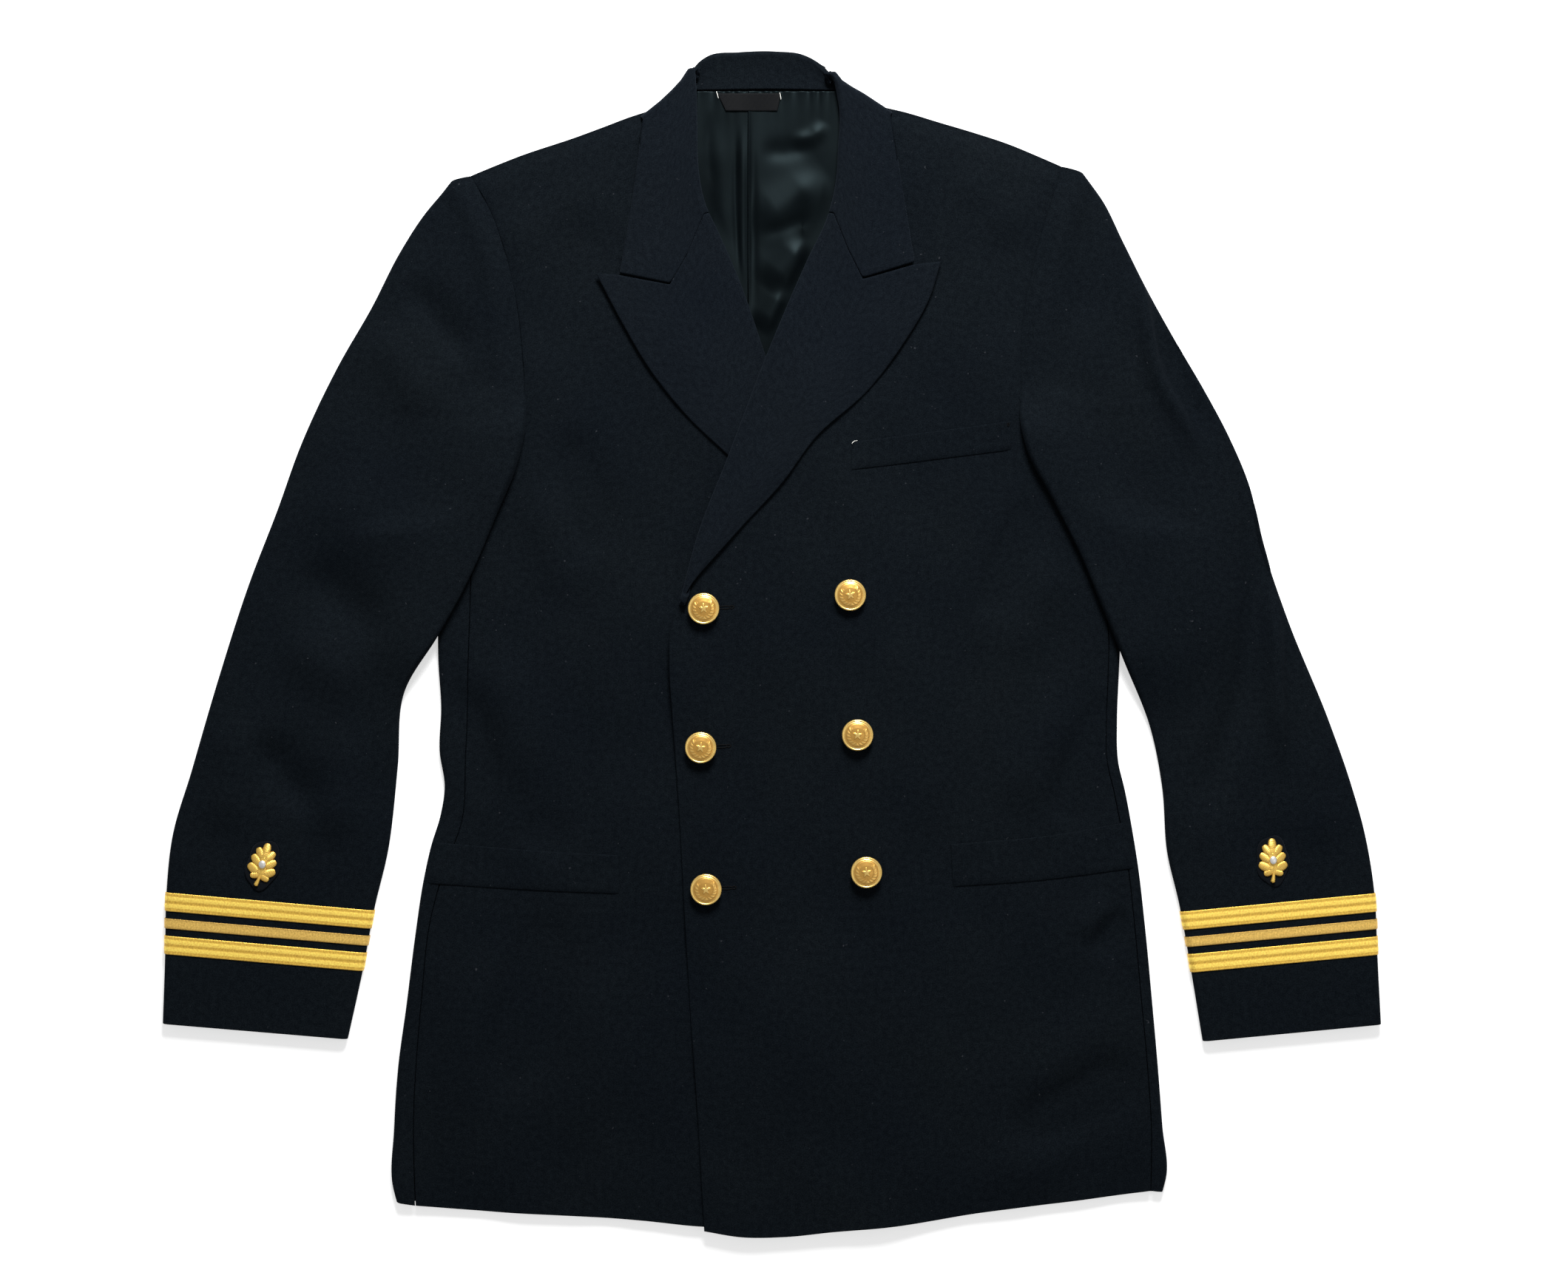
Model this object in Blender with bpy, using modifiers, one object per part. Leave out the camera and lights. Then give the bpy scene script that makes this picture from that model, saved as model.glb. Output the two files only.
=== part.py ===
"""A double-breasted dress uniform jacket, laid flat on its back with the front up.

Units in this file are millimetres until shell() and the other makers scale them to metres.
+X is the wearer's left, +Y points to the collar and +Z points up, away from the surface
that the jacket lies on.  The origin lies on that surface, near the middle of the body.

Each piece that a tailor cuts is one object.  A piece of cloth is an open surface, its outer
face, and a Solidify modifier gives it its thickness inwards.  The plan of a piece is a
patch between four edges, and a height formula lays it on what is below it.
"""
import math

import bpy
import numpy as np

MM = 0.001

# Thickness of each kind of cloth, in mm.
BACK = 2.0
FRONT = 2.4
LAPEL = 2.4
COLLAR = 2.4
SLEEVE = 2.0
LINING = 1.0
WELT = 1.6
LACE = 1.0
LABEL = 0.6

HOLLOW = 3.0            # air between the back and the fronts
SEAM = 0.3              # gap between two pieces at a seam
LAY = 1.0               # gap under a piece that lies on another
BODY = BACK + HOLLOW + FRONT
SLEEVE_DEPTH = 2 * SLEEVE + 3.4
CUFF_LIFT = LACE + 0.6  # the lace goes round the cuff, so the cuff rests on it

# Double-breasted overlap: the wearer's left front lies over the right front.
UNDER_EDGE_X = 68.0
BREAK_Y = 20.0          # where the lapels begin to fold back
CROSS = (-5.3, 203.7)   # where the two roll lines cross
OVER_LOW = FRONT + LAY
OVER_HIGH = OVER_LOW + LAPEL + LAY

# Sleeve lace: half inch, quarter inch, half inch, two inches above the cuff edge.
INCH = 25.4
LACE_START = 2.0 * INCH
LACE_WIDTHS = (0.5 * INCH, 0.25 * INCH, 0.5 * INCH)
LACE_SPACE = 0.25 * INCH

BUTTON_RADIUS = 11.15
BUTTONS = [(-49.4, 25.2), (-51.5, -73.0), (-47.8, -173.3),
           (54.1, 34.7), (59.3, -64.1), (65.6, -161.2)]

# ---------------------------------------------------------------- outlines, in plan
# Side folds of the body, from the hem up to the underarm.
FOLD = {
    "right": [(-268.0, -396.5), (-270.9, -385), (-270.0, -345), (-267.0, -300), (-261.2, -257),
              (-255.0, -208), (-249.0, -168), (-243.5, -143), (-237.0, -122), (-234.0, -102),
              (-237.6, -76), (-236.5, -45), (-238.5, -12), (-238.5, 30), (-236.0, 80)],
    "left": [(276.5, -389.5), (279.3, -378), (276.5, -343), (273.2, -300), (269.4, -257),
             (264.0, -200), (259.0, -157), (254.8, -131), (249.5, -103), (245.2, -85),
             (244.2, -55), (245.3, -25), (246.5, 5), (245.0, 40), (240.0, 80)],
}
# Side seams as they lie on the front, from the hem up to the armhole.
SIDE_SEAM = {
    "right": [(-254.6, -399), (-256, -345), (-254, -297), (-250, -250), (-244, -197),
              (-234, -160), (-222, -127), (-219, -80), (-217.5, -30), (-216, 23), (-214, 88)],
    "left": [(268.0, -388.5), (268.2, -343), (265.5, -300), (261.6, -257), (256.4, -200),
             (251.6, -157), (247.0, -131), (241.5, -103), (237.4, -85), (236.6, -55),
             (237.5, -25), (238.0, 5), (234.0, 40), (222.0, 88)],
}
BACK_SEAM_INSET = 35.0
# Lower armhole, hidden under the sleeve, then the armhole seam up to the shoulder tip.
UNDERARM = {
    "right": [(-214, 88), (-196, 101), (-183, 132), (-177.4, 165), (-177.4, 192)],
    "left": [(222, 88), (200, 104), (184, 132), (176.5, 158), (176.0, 180)],
}
ARMHOLE = {
    "right": [(-177.4, 192), (-182, 237), (-192.5, 283.5), (-205, 315), (-216, 333.0)],
    "left": [(176.0, 180), (176.5, 222), (183.5, 262), (194.5, 304), (206, 339.5)],
}
SHOULDER = {
    "right": [(-57.5, 389), (-84, 373.5), (-99, 371.0), (-137.6, 360.0), (-180, 347.0),
              (-216, 333.0)],
    "left": [(49.0, 389), (73, 377.0), (92, 376.0), (117.6, 369.3), (167, 355.2), (206, 339.5)],
}
# Roll lines, from the break of the lapel up to the top of the neck.
ROLL = {
    "right": [(63, 20), (30, 108), (-5.3, 203.7), (-25, 260), (-38, 290), (-49, 314.5),
              (-53, 335.5), (-54, 365), (-54.5, 391)],
    "left": [(-69, 20.5), (-52.5, 81), (-32.6, 132), (-5.3, 203.7), (25, 275), (38, 303),
             (44, 328), (45.5, 350), (45.5, 391)],
}
ROLL_GORGE = {"right": (-46.5, 306.0), "left": (40.5, 306.0)}
LAPEL_EDGE = {
    "right": [(44, 46), (12, 86), (-32.6, 134), (-59, 159), (-88, 195), (-107, 227), (-126, 263)],
    "left": [(-54, 47), (-41, 62), (-24, 81), (7, 115), (29, 145), (68, 181), (92, 213),
             (110, 244), (118.7, 271.4)],
}
GORGE = {
    "right": [(-126, 263), (-109.7, 262), (-92, 258.8), (-74, 255.7), (-62, 277), (-50, 306)],
    "left": [(118.7, 271.4), (100.3, 269.5), (82, 264.3), (64, 259.4), (54, 280), (44, 306)],
}
COLLAR_EDGE = {
    "right": [(-109.2, 263.4), (-101, 315.5), (-94, 376)],
    "left": [(100.0, 271.2), (91, 328), (83, 380)],
}
# Where the collar turns over the side of the neck, from its fold out to its edge.
COLLAR_TURN = {"right": [(-53.5, 414), (-91.5, 377.5)], "left": [(43.5, 403), (79, 382.5)]}
COLLAR_TOP = [(-49, 417), (-25, 420), (2.6, 420.5), (24, 417.6), (39, 408.5)]
COLLAR_BACK_EDGE = [(-82, 376), (-40, 374), (-5, 374), (30, 374), (70, 379)]

CENTRE_BACK = -5.0
HEM = {
    "right": [(-254.6, -399), (-194, -403.7), (-141, -406.4), (-95, -409.5), (-52, -413.6),
              (10, -414.5), (UNDER_EDGE_X, -411.0)],
    "left": [(268.0, -388.5), (220, -394.8), (149, -403.7), (96, -412), (42.8, -417),
             (7.4, -420.6), (-23.6, -420.5), (-49.4, -416.5)],
}
BACK_HEM = {
    "right": [(-233.0, -396), (-150, -402), (-60, -408), (CENTRE_BACK, -409)],
    "left": [(241.5, -387), (150, -399), (60, -408), (CENTRE_BACK, -409)],
}
FRONT_EDGE = {
    "right": [(UNDER_EDGE_X, -411.0), (UNDER_EDGE_X, -250), (UNDER_EDGE_X, -100), (66, -20),
              (63, 20)],
    "left": [(-49.4, -416.5), (-54.6, -325), (-59, -265), (-63, -197), (-65.6, -147.5),
             (-68, -105), (-72, -51.5), (-73.5, 1.6), (-69, 20.5)],
}

# Sleeves, from the cuff to the shoulder: outer fold and inner fold.
OUTER = {
    "right": [(-433.5, -268), (-432.4, -222), (-431.4, -176), (-427.6, -139), (-413, -87),
              (-394, -22), (-373, 43), (-353, 95), (-336, 142), (-309, 199), (-286, 239),
              (-265.5, 279), (-248, 306), (-234.5, 322), (-228.5, 329)],
    "left": [(431.5, -270), (429.0, -222), (426.8, -176), (422, -144), (411, -101), (395, -55),
             (365, 19), (347.5, 72), (338.5, 112), (324, 147), (306.5, 180), (286, 215),
             (265.5, 252), (248.5, 286), (233.5, 316), (219.5, 334.5)],
}
INNER_LOW = {
    "right": [(-302.6, -280.5), (-292, -232), (-283.5, -187), (-274, -147), (-267.3, -87),
              (-262.5, -35), (-238, 5), (-217, 43), (-200, 90), (-185, 138), (-179, 190)],
    "left": [(304.8, -282), (296.4, -231), (288, -184), (279.6, -148), (276.0, -100),
             (267.5, -58.5), (248, -12), (232, 27), (217, 63.5), (199, 106), (185.5, 141),
             (178, 178)],
}
ARM_ROWS = 14
HEAD_ROWS = 5

COLOURS = {
    "wool": (0.0080, 0.0100, 0.0150), "satin": (0.0040, 0.0060, 0.0070),
    "label": (0.0030, 0.0030, 0.0035), "gilt": (0.85, 0.52, 0.12),
    "lace": (0.70, 0.47, 0.11), "felt": (0.0045, 0.0050, 0.0070), "silver": (0.60, 0.58, 0.56),
}
METALS = {"gilt": 1.0, "lace": 0.8, "silver": 1.0}
ROUGHNESS = {"wool": 0.95, "satin": 0.35, "label": 0.6, "gilt": 0.25, "lace": 0.4,
             "felt": 1.0, "silver": 0.3}


# ---------------------------------------------------------------- small tools
def smooth(value, low, high):
    """Zero below low, one above high, and a soft S between."""
    t = np.clip((np.asarray(value, float) - low) / (high - low), 0.0, 1.0)
    return t * t * (3.0 - 2.0 * t)


def line(points, count):
    """Evenly spaced points on a smooth curve through the given points."""
    p = np.array(points, float)
    at = np.r_[0.0, np.cumsum(np.hypot(*np.diff(p, axis=0).T))]
    if len(p) == 2:
        return p[0] + np.linspace(0, 1, count)[:, None] * (p[1] - p[0])
    tangent = np.gradient(p, at, axis=0)
    s = np.linspace(0, at[-1], 24 * len(p))
    k = np.clip(np.searchsorted(at, s) - 1, 0, len(p) - 2)
    h = (at[k + 1] - at[k])[:, None]
    t = ((s - at[k])[:, None]) / h
    fine = ((2 * t**3 - 3 * t**2 + 1) * p[k] + (t**3 - 2 * t**2 + t) * h * tangent[k]
            + (3 * t**2 - 2 * t**3) * p[k + 1] + (t**3 - t**2) * h * tangent[k + 1])
    return even(fine, count)


def even(points, count, bias=1.0):
    """Points along a polyline, evenly spaced, or closer at its start when bias is above 1."""
    p = np.asarray(points, float)
    at = np.r_[0.0, np.cumsum(np.hypot(*np.diff(p, axis=0).T))]
    s = np.linspace(0, 1, count) ** bias * at[-1]
    return np.stack([np.interp(s, at, p[:, 0]), np.interp(s, at, p[:, 1])], axis=1)


def join(*lines):
    """One polyline out of several that meet end to start."""
    return np.concatenate([lines[0]] + [part[1:] for part in lines[1:]])


def offset_way(points):
    """Unit vectors to the left of a plan line."""
    along = np.gradient(np.asarray(points, float), axis=0)
    along /= np.linalg.norm(along, axis=1)[:, None]
    return np.stack([-along[:, 1], along[:, 0]], axis=1)


def inward_x(side):
    """1 on the wearer's right, where the body's middle lies towards +X, else -1."""
    return 1 if side == "right" else -1


def patch(bottom, top, start, end, bias=1.0):
    """Coons patch: rows run from start to end, and go up from the bottom edge to the top.

    With bias above 1 the columns are closer together near the start edge.
    """
    u = (np.linspace(0, 1, len(bottom)) ** bias)[None, :, None]
    v = np.linspace(0, 1, len(start))[:, None, None]
    ruled = (1 - v) * bottom[None] + v * top[None] + (1 - u) * start[:, None] + u * end[:, None]
    corners = ((1 - u) * (1 - v) * bottom[0] + u * (1 - v) * bottom[-1]
               + (1 - u) * v * top[0] + u * v * top[-1])
    return ruled - corners


def raised(plan, height):
    """A plan grid with its heights."""
    return np.concatenate([plan, np.asarray(height)[..., None]], axis=-1)


# ---------------------------------------------------------------- heights
def neck_raise(x, y):
    """The back lies on the collar's fall near the neck."""
    near = 1 - smooth(np.abs(x + 5), 120, 195)
    return (COLLAR + 0.6) * smooth(y, 285, 352) * near


def body_top(x, y):
    """Upper face of a front that lies on the back."""
    chest = np.exp(-((np.abs(x) - 115) / 80) ** 2 - ((y - 190) / 130) ** 2)
    return BODY + 0.6 * chest + neck_raise(x, y)


def over_top(x, y):
    """Upper face of the wearer's left front, which climbs over the right front's edge."""
    slope = (63.0 - CROSS[0]) / (CROSS[1] - BREAK_Y)
    under_x = np.minimum(CROSS[0] + slope * (CROSS[1] - y), UNDER_EDGE_X)
    climb = OVER_LOW + (OVER_HIGH - OVER_LOW) * smooth(y, -130, 5)
    return body_top(x, y) + climb * (1 - smooth(x - under_x, 10, 72))


def front_top(side, x, y):
    return over_top(x, y) if side == "left" else body_top(x, y)


# ---------------------------------------------------------------- makers
def material(name):
    found = bpy.data.materials.get(name)
    if found:
        return found
    made = bpy.data.materials.new(name)
    made.use_nodes = True
    kind = name.split("_")[-1]
    shader = made.node_tree.nodes["Principled BSDF"]
    shader.inputs["Base Color"].default_value = (*COLOURS[kind], 1.0)
    shader.inputs["Metallic"].default_value = METALS.get(kind, 0.0)
    shader.inputs["Roughness"].default_value = ROUGHNESS[kind]
    return made


def add(name, mesh, kind):
    """Put a mesh in the jacket's collection with a material of its own."""
    mesh.materials.append(material(f"{name}_{kind}"))
    made = bpy.data.objects.new(name, mesh)
    bpy.data.collections["military_blazer"].objects.link(made)
    return made


def shell(name, grid, thickness, kind="wool", up_at=(0.5, 0.5), up=True, ring=False):
    """Cloth from a grid of points in mm, on its outer face, thickened inwards.

    up_at is the place in the grid, as two fractions, where the outer face looks up.
    """
    rows, cols = grid.shape[:2]
    if ring:
        grid = grid[:, :-1]
        cols = cols - 1
    row, col = np.meshgrid(np.arange(rows - 1), np.arange(cols if ring else cols - 1),
                           indexing="ij")
    right = (col + 1) % cols
    quads = np.stack([row * cols + col, row * cols + right,
                      (row + 1) * cols + right, (row + 1) * cols + col], axis=-1)
    i = int(up_at[0] * (rows - 2))
    j = int(up_at[1] * (quads.shape[1] - 1))
    a, b, d = (grid.reshape(-1, 3)[quads[i, j, k]] for k in (0, 1, 3))
    if (np.cross(b - a, d - a)[2] > 0) != up:
        quads = quads[..., ::-1]
    mesh = bpy.data.meshes.new(name)
    mesh.from_pydata((grid.reshape(-1, 3) * MM).tolist(), [], quads.reshape(-1, 4).tolist())
    mesh.update()
    made = add(name, mesh, kind)
    wall = made.modifiers.new("cloth thickness", "SOLIDIFY")
    wall.thickness = thickness * MM
    wall.offset = -1.0
    return made


def turned(name, profile, place, kind, steps=16):
    """A turned piece: the profile runs from the top of the axis down its outer side."""
    mesh = bpy.data.meshes.new(name)
    points = [(r * MM, 0.0, z * MM) for r, z in profile]
    mesh.from_pydata(points, [(k, k + 1) for k in range(len(points) - 1)], [])
    made = add(name, mesh, kind)
    made.location = [value * MM for value in place]
    screw = made.modifiers.new("turning", "SCREW")
    screw.steps = steps
    screw.render_steps = steps
    screw.use_merge_vertices = True
    screw.merge_threshold = 0.00001
    return made


def plate(name, outline, thickness, kind):
    """A flat plate from an outline of 3D points on its lower face."""
    mesh = bpy.data.meshes.new(name)
    base = np.asarray(outline, float)
    middle = base.mean(axis=0)
    low = np.vstack([base, middle])
    high = low + (0, 0, thickness)
    n = len(base)
    faces = []
    for k in range(n):
        m = (k + 1) % n
        faces += [(m, k, n), (n + 1 + k, n + 1 + m, 2 * n + 1), (k, m, n + 1 + m, n + 1 + k)]
    mesh.from_pydata((np.vstack([low, high]) * MM).tolist(), [], faces)
    mesh.update()
    return add(name, mesh, kind)


# ---------------------------------------------------------------- body
SIDE_ROWS = 14
UNDERARM_ROWS = 4
EDGE_ROWS = 12
ROLL_CLEAR = 2.4        # from the fold of a lapel or collar to the edge of its front
FRONT_COLUMNS = {"right": 8, "left": 14}


def outer_rows(side, low):
    """Body edge from the hem to the shoulder tip, shared by every piece that ends on it."""
    under = UNDERARM[side]
    first = np.array(low[-1])
    lower = join(np.array([first]), line([first] + under[1:], UNDERARM_ROWS + 1))
    return join(low, lower[1:], line(ARMHOLE[side], HEAD_ROWS + 1))


def seam_points(side):
    return line(SIDE_SEAM[side], SIDE_ROWS)


def back_seam(side):
    inward = inward_x(side)
    fold = line(FOLD[side], SIDE_ROWS)
    seam = fold + (inward * BACK_SEAM_INSET, 0)
    seam[-1] = {"right": (-199, 98), "left": (203, 101)}[side]
    return seam


def make_front(side):
    inward = inward_x(side)
    outer = outer_rows(side, seam_points(side) + (inward * SEAM, 0))
    fine_roll = line(ROLL[side], 80)
    inset = (FRONT + LAY + LAPEL + rise(fine_roll[:, 1:2])) / 2 + ROLL_CLEAR
    inset_roll = even(fine_roll + inward_x(side) * inset * offset_way(fine_roll),
                      len(outer) - EDGE_ROWS + 1)
    edge = line(FRONT_EDGE[side], EDGE_ROWS)
    edge[-1] = inset_roll[0]
    inner = join(edge, inset_roll)
    columns = FRONT_COLUMNS[side]
    bias = 1.25 if side == "left" else 1.0
    bottom = even(line(HEM[side][::-1], 120), columns, bias)
    bottom[-1] = outer[0]
    top = even(line(SHOULDER[side], 120), columns, bias)
    top[-1] = outer[-1]
    top[0] = inner[-1]
    plan = patch(bottom, top, inner, outer, bias)
    height = front_top(side, plan[..., 0], plan[..., 1])
    height[-1] -= HOLLOW - SEAM
    shell(f"front_{side}", raised(plan, height), FRONT)


def make_back(side):
    inward = inward_x(side)
    outer = outer_rows(side, back_seam(side) + (inward * SEAM, 0))
    centre = CENTRE_BACK - inward * SEAM / 2
    inner = np.stack([np.full(len(outer), centre),
                      np.linspace(-409, 393, len(outer))], axis=1)
    columns = 6
    bottom = even(line(BACK_HEM[side][::-1], 60), columns)
    bottom[0], bottom[-1] = inner[0], outer[0]
    neck_x = -57.5 if side == "right" else 49.0
    shoulder = join(np.array([(centre, 393.0), (neck_x, 393.0)]), line(SHOULDER[side], 40)[1:])
    top = even(shoulder, columns)
    top[1] = (neck_x, 391.5)
    top[-1] = outer[-1]
    plan = patch(bottom, top, inner, outer)
    height = neck_raise(plan[..., 0], plan[..., 1])
    shell(f"back_{side}", raised(plan, height), BACK, up=False)


def make_side(side):
    """The side body: under the body, round the side fold and back to the front's seam."""
    inward = inward_x(side)
    radius = BODY / 2
    turn = np.linspace(0, math.pi, 7)
    sections = []
    for fold, seam, back in zip(line(FOLD[side], SIDE_ROWS), seam_points(side), back_seam(side)):
        centre = fold[0] + inward * radius
        x = np.r_[back[0], (back[0] + centre) / 2,
                  centre - inward * radius * np.sin(turn),
                  (centre + seam[0]) / 2, seam[0]]
        z = np.r_[0.0, 0.0, radius * (1 - np.cos(turn)), BODY, BODY]
        travel = np.r_[0.0, np.cumsum(np.hypot(np.diff(x), np.diff(z)))]
        y = np.interp(travel, [0.0, travel[5], travel[-1]], [back[1], fold[1], seam[1]])
        sections.append(np.stack([x, y, z], axis=1))
    shell(f"side_{side}", np.array(sections), BACK, up_at=(0.5, 1.0))


# ---------------------------------------------------------------- lapels and collar
ACROSS = 5
BEND = 5
LAPEL_ROWS = 11
WING_ROWS = 6
TURN_STEPS = 6
STAND_TOP = 6.0         # height of the stand's inner face, which looks up inside the neck
BACK_COLUMNS = 7


def rise(y):
    """How far the roll of the lapel and collar stands up, more towards the neck."""
    return 2.2 * smooth(y, 205, 330)


def lay_on_front(side, plan, roll_side=1.0):
    """Upper face of a lapel or collar wing: it lies on the front and rises to its roll."""
    x, y = plan[..., 0], plan[..., 1]
    share = np.linspace(0, 1, plan.shape[1])[None, :]
    return front_top(side, x, y) + LAY + LAPEL + rise(y) * share ** 2


def rolled(grid, out, up, radius):
    """Add the bend that carries the cloth's last column round and under itself.

    out holds, for each row, the direction that the fold points to, in plan.
    """
    rows = [grid]
    last = grid[:, -1]
    radius = radius[:, None]
    for angle in np.linspace(0, math.pi, BEND + 1)[1:]:
        centre = last - up * radius
        rows.append((centre + radius * (out * math.sin(angle) + up * math.cos(angle)))[:, None])
    return np.concatenate(rows, axis=1)


def plan_normals(points, towards):
    """Unit normals of a plan line, on the side that towards (1 right, -1 left) names."""
    along = np.gradient(points, axis=0)
    along /= np.linalg.norm(along, axis=1)[:, None]
    flat = towards * np.stack([along[:, 1], -along[:, 0]], axis=1)
    return np.concatenate([flat, np.zeros((len(flat), 1))], axis=1)


def roll_fold(side, low_y, high_y, count, thickness):
    """The fold along a stretch of the roll line.

    It gives the plan line where the fold starts, its outward directions and its radii.
    """
    fine = line(ROLL[side], 200)
    y = np.linspace(low_y, high_y, count)
    roll = np.stack([np.interp(y, fine[:, 1], fine[:, 0]), y], axis=1)
    out = plan_normals(roll, inward_x(side))
    radius = (FRONT + LAY + thickness + rise(y)) / 2
    return roll - out[:, :2] * radius[:, None], out, radius


def make_lapel(side):
    edge = line(LAPEL_EDGE[side], LAPEL_ROWS)
    inner, out, radius = roll_fold(side, edge[0, 1] - 4.0, ROLL_GORGE[side][1], LAPEL_ROWS,
                                   LAPEL)
    bottom = np.linspace(edge[0], inner[0], ACROSS + 1)
    top = np.array(GORGE[side], float) - (0, SEAM)
    top[-1] = inner[-1]
    plan = patch(bottom, top, edge, inner)
    grid = raised(plan, lay_on_front(side, plan))
    up = np.tile((0.0, 0.0, 1.0), (LAPEL_ROWS, 1))
    shell(f"lapel_{side}", rolled(grid, out, up, radius), LAPEL, up_at=(0.5, 0.2))


def wing(side):
    """The collar's fall on one front, from the gorge to the side of the neck."""
    crease = line(COLLAR_TURN[side], ACROSS)[::-1]
    edge = line(COLLAR_EDGE[side], WING_ROWS)
    edge[-1] = crease[0]
    inner, out, radius = roll_fold(side, ROLL_GORGE[side][1] + SEAM, crease[-1, 1], WING_ROWS,
                                   COLLAR)
    bottom = np.array(GORGE[side][1:], float) + (0, SEAM)
    bottom[-1] = inner[0]
    plan = patch(bottom, crease, edge, inner)
    return raised(plan, lay_on_front(side, plan)), out, radius


def make_collar():
    """The fall runs from notch to notch: a wing, the turn at the neck, the back, and again."""
    ends = {}
    for side in ("right", "left"):
        grid, out, radius = wing(side)
        crease = grid[-1]
        along = crease[-1] - crease[0]
        along[2] = 0
        along /= np.linalg.norm(along)
        facing = np.array([-along[1], along[0], 0.0]) * inward_x(side)
        half = crease[:, 2:3] / 2
        axis = np.concatenate([crease[:, :2], half], axis=1) - facing * half
        angles = np.linspace(0, math.pi, TURN_STEPS + 1)
        turn_up = [facing * math.sin(a) + np.array((0, 0, math.cos(a))) for a in angles]
        points = list(grid[:-1]) + [axis + up * half for up in turn_up]
        ups = [np.array((0, 0, 1.0))] * (WING_ROWS - 1) + turn_up
        outs = list(out[:-1]) + [along] * len(angles)
        radii = list(radius[:-1]) + [radius[-2]] * len(angles)
        ends[side] = (points, ups, outs, radii)
    top = line(COLLAR_TOP, BACK_COLUMNS + 2)[1:-1] - (0, STAND_TOP / 2)
    low = line(COLLAR_BACK_EDGE, BACK_COLUMNS + 2)[1:-1]
    middle = [raised(np.linspace(b, t, ACROSS), np.zeros(ACROSS)) for t, b in zip(top, low)]
    across = (middle, [np.array((0, 0, -1.0))] * BACK_COLUMNS,
              [np.array((0, 1.0, 0))] * BACK_COLUMNS, [STAND_TOP / 2] * BACK_COLUMNS)
    grid, up, out, radius = (np.array(right + centre + left[::-1]) for right, centre, left
                             in zip(ends["right"], across, ends["left"]))
    shell("collar_fall", rolled(grid, out, up, radius), COLLAR, up_at=(0.05, 0.3))


def make_stand():
    bottom = line([(-60, 393.8), (0, 394.6), (43, 393.8)], 9)
    top = line([(-45, 410.5), (-25, 414.3), (2.6, 415.0), (20, 412.3), (30, 404.5)], 9)
    plan = patch(bottom, top, line([bottom[0], top[0]], 4), line([bottom[-1], top[-1]], 4))
    shell("collar_stand", raised(plan, np.full(plan.shape[:2], STAND_TOP)), COLLAR)


# ---------------------------------------------------------------- lining and label
PLEAT_X = -18.0
LINING_LIFT = 0.9


LINING_EDGE = {
    "right": [(-58, 215), (-70, 295), (-64, 335), (-56, 366), (-54.5, 392.8)],
    "left": [(50, 215), (59, 295), (54, 335), (47.5, 366), (46.5, 392.8)],
}


def lining_top(x, y):
    return BACK + neck_raise(x, y) + LINING_LIFT + LINING


def make_lining(side):
    inward = inward_x(side)
    pleat = PLEAT_X - inward * SEAM / 2
    outer = line(LINING_EDGE[side], 9)
    inner = np.stack([np.full(9, pleat), np.linspace(200, 392.8, 9)], axis=1)
    bottom = line([inner[0], outer[0]], 4)
    top = line([inner[-1], outer[-1]], 4)
    plan = patch(bottom, top, inner, outer)
    height = lining_top(plan[..., 0], plan[..., 1])
    shell(f"lining_{side}", raised(plan, height), LINING, "satin")


def make_label():
    bottom = line([(-34, 378.5), (2.6, 378.5)], 4)
    top = line([(-40, 391), (5.6, 391)], 4)
    plan = patch(bottom, top, line([bottom[0], top[0]], 4), line([bottom[-1], top[-1]], 4))
    height = lining_top(plan[..., 0], plan[..., 1]) + SEAM + LABEL
    shell("neck_label", raised(plan, height), LABEL, "label")


# ---------------------------------------------------------------- pockets
WELTS = {
    "breast_welt": ("left", [(54.0, 123.0), (169.0, 137.6)], [(55.7, 143.3), (168.5, 158.3)]),
    "hip_welt_right": ("right", [(-246.0, -170.0), (-180, -174.5), (-109.0, -177.5)],
                       [(-240.0, -140.5), (-180, -145.5), (-110.0, -149.6)]),
    "hip_welt_left": ("left", [(127.0, -172.7), (189.5, -168.0), (256.0, -159.4)],
                      [(125.5, -141.8), (186.0, -136.8), (249.5, -126.5)]),
}


def make_welt(name):
    side, low, high = WELTS[name]
    bottom = line(low, 9)
    top = line(high, 9)
    plan = patch(bottom, top, np.linspace(bottom[0], top[0], 4),
                 np.linspace(bottom[-1], top[-1], 4))
    x, y = plan[..., 0], plan[..., 1]
    height = front_top(side, x, y) + LAY + WELT
    shell(name, raised(plan, height), WELT)


# ---------------------------------------------------------------- sleeves
OUTER_WRAP = 20.0
INNER_WRAP = 15.0


def body_side_x(side, y):
    """Side of the body under the sleeve: the side fold, then the lower armhole."""
    arm = line(UNDERARM[side], 30)
    points = np.vstack([line(FOLD[side], 60), arm[1:]])
    return np.interp(y, points[:, 1], points[:, 0])


def sleeve_floor(side, x, y):
    """Height of the sleeve's underside: on the surface, or up over the side of the body."""
    outside = np.abs(x) - np.abs(body_side_x(side, y))
    over = (BODY + 2.4) * (1 - smooth(outside, 6, 74)) * (1 - smooth(y, 146, 186))
    cuff = CUFF_LIFT * (1 - smooth(y, -130, -95))
    return np.maximum(over * smooth(y, -64, 0), cuff)


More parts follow.
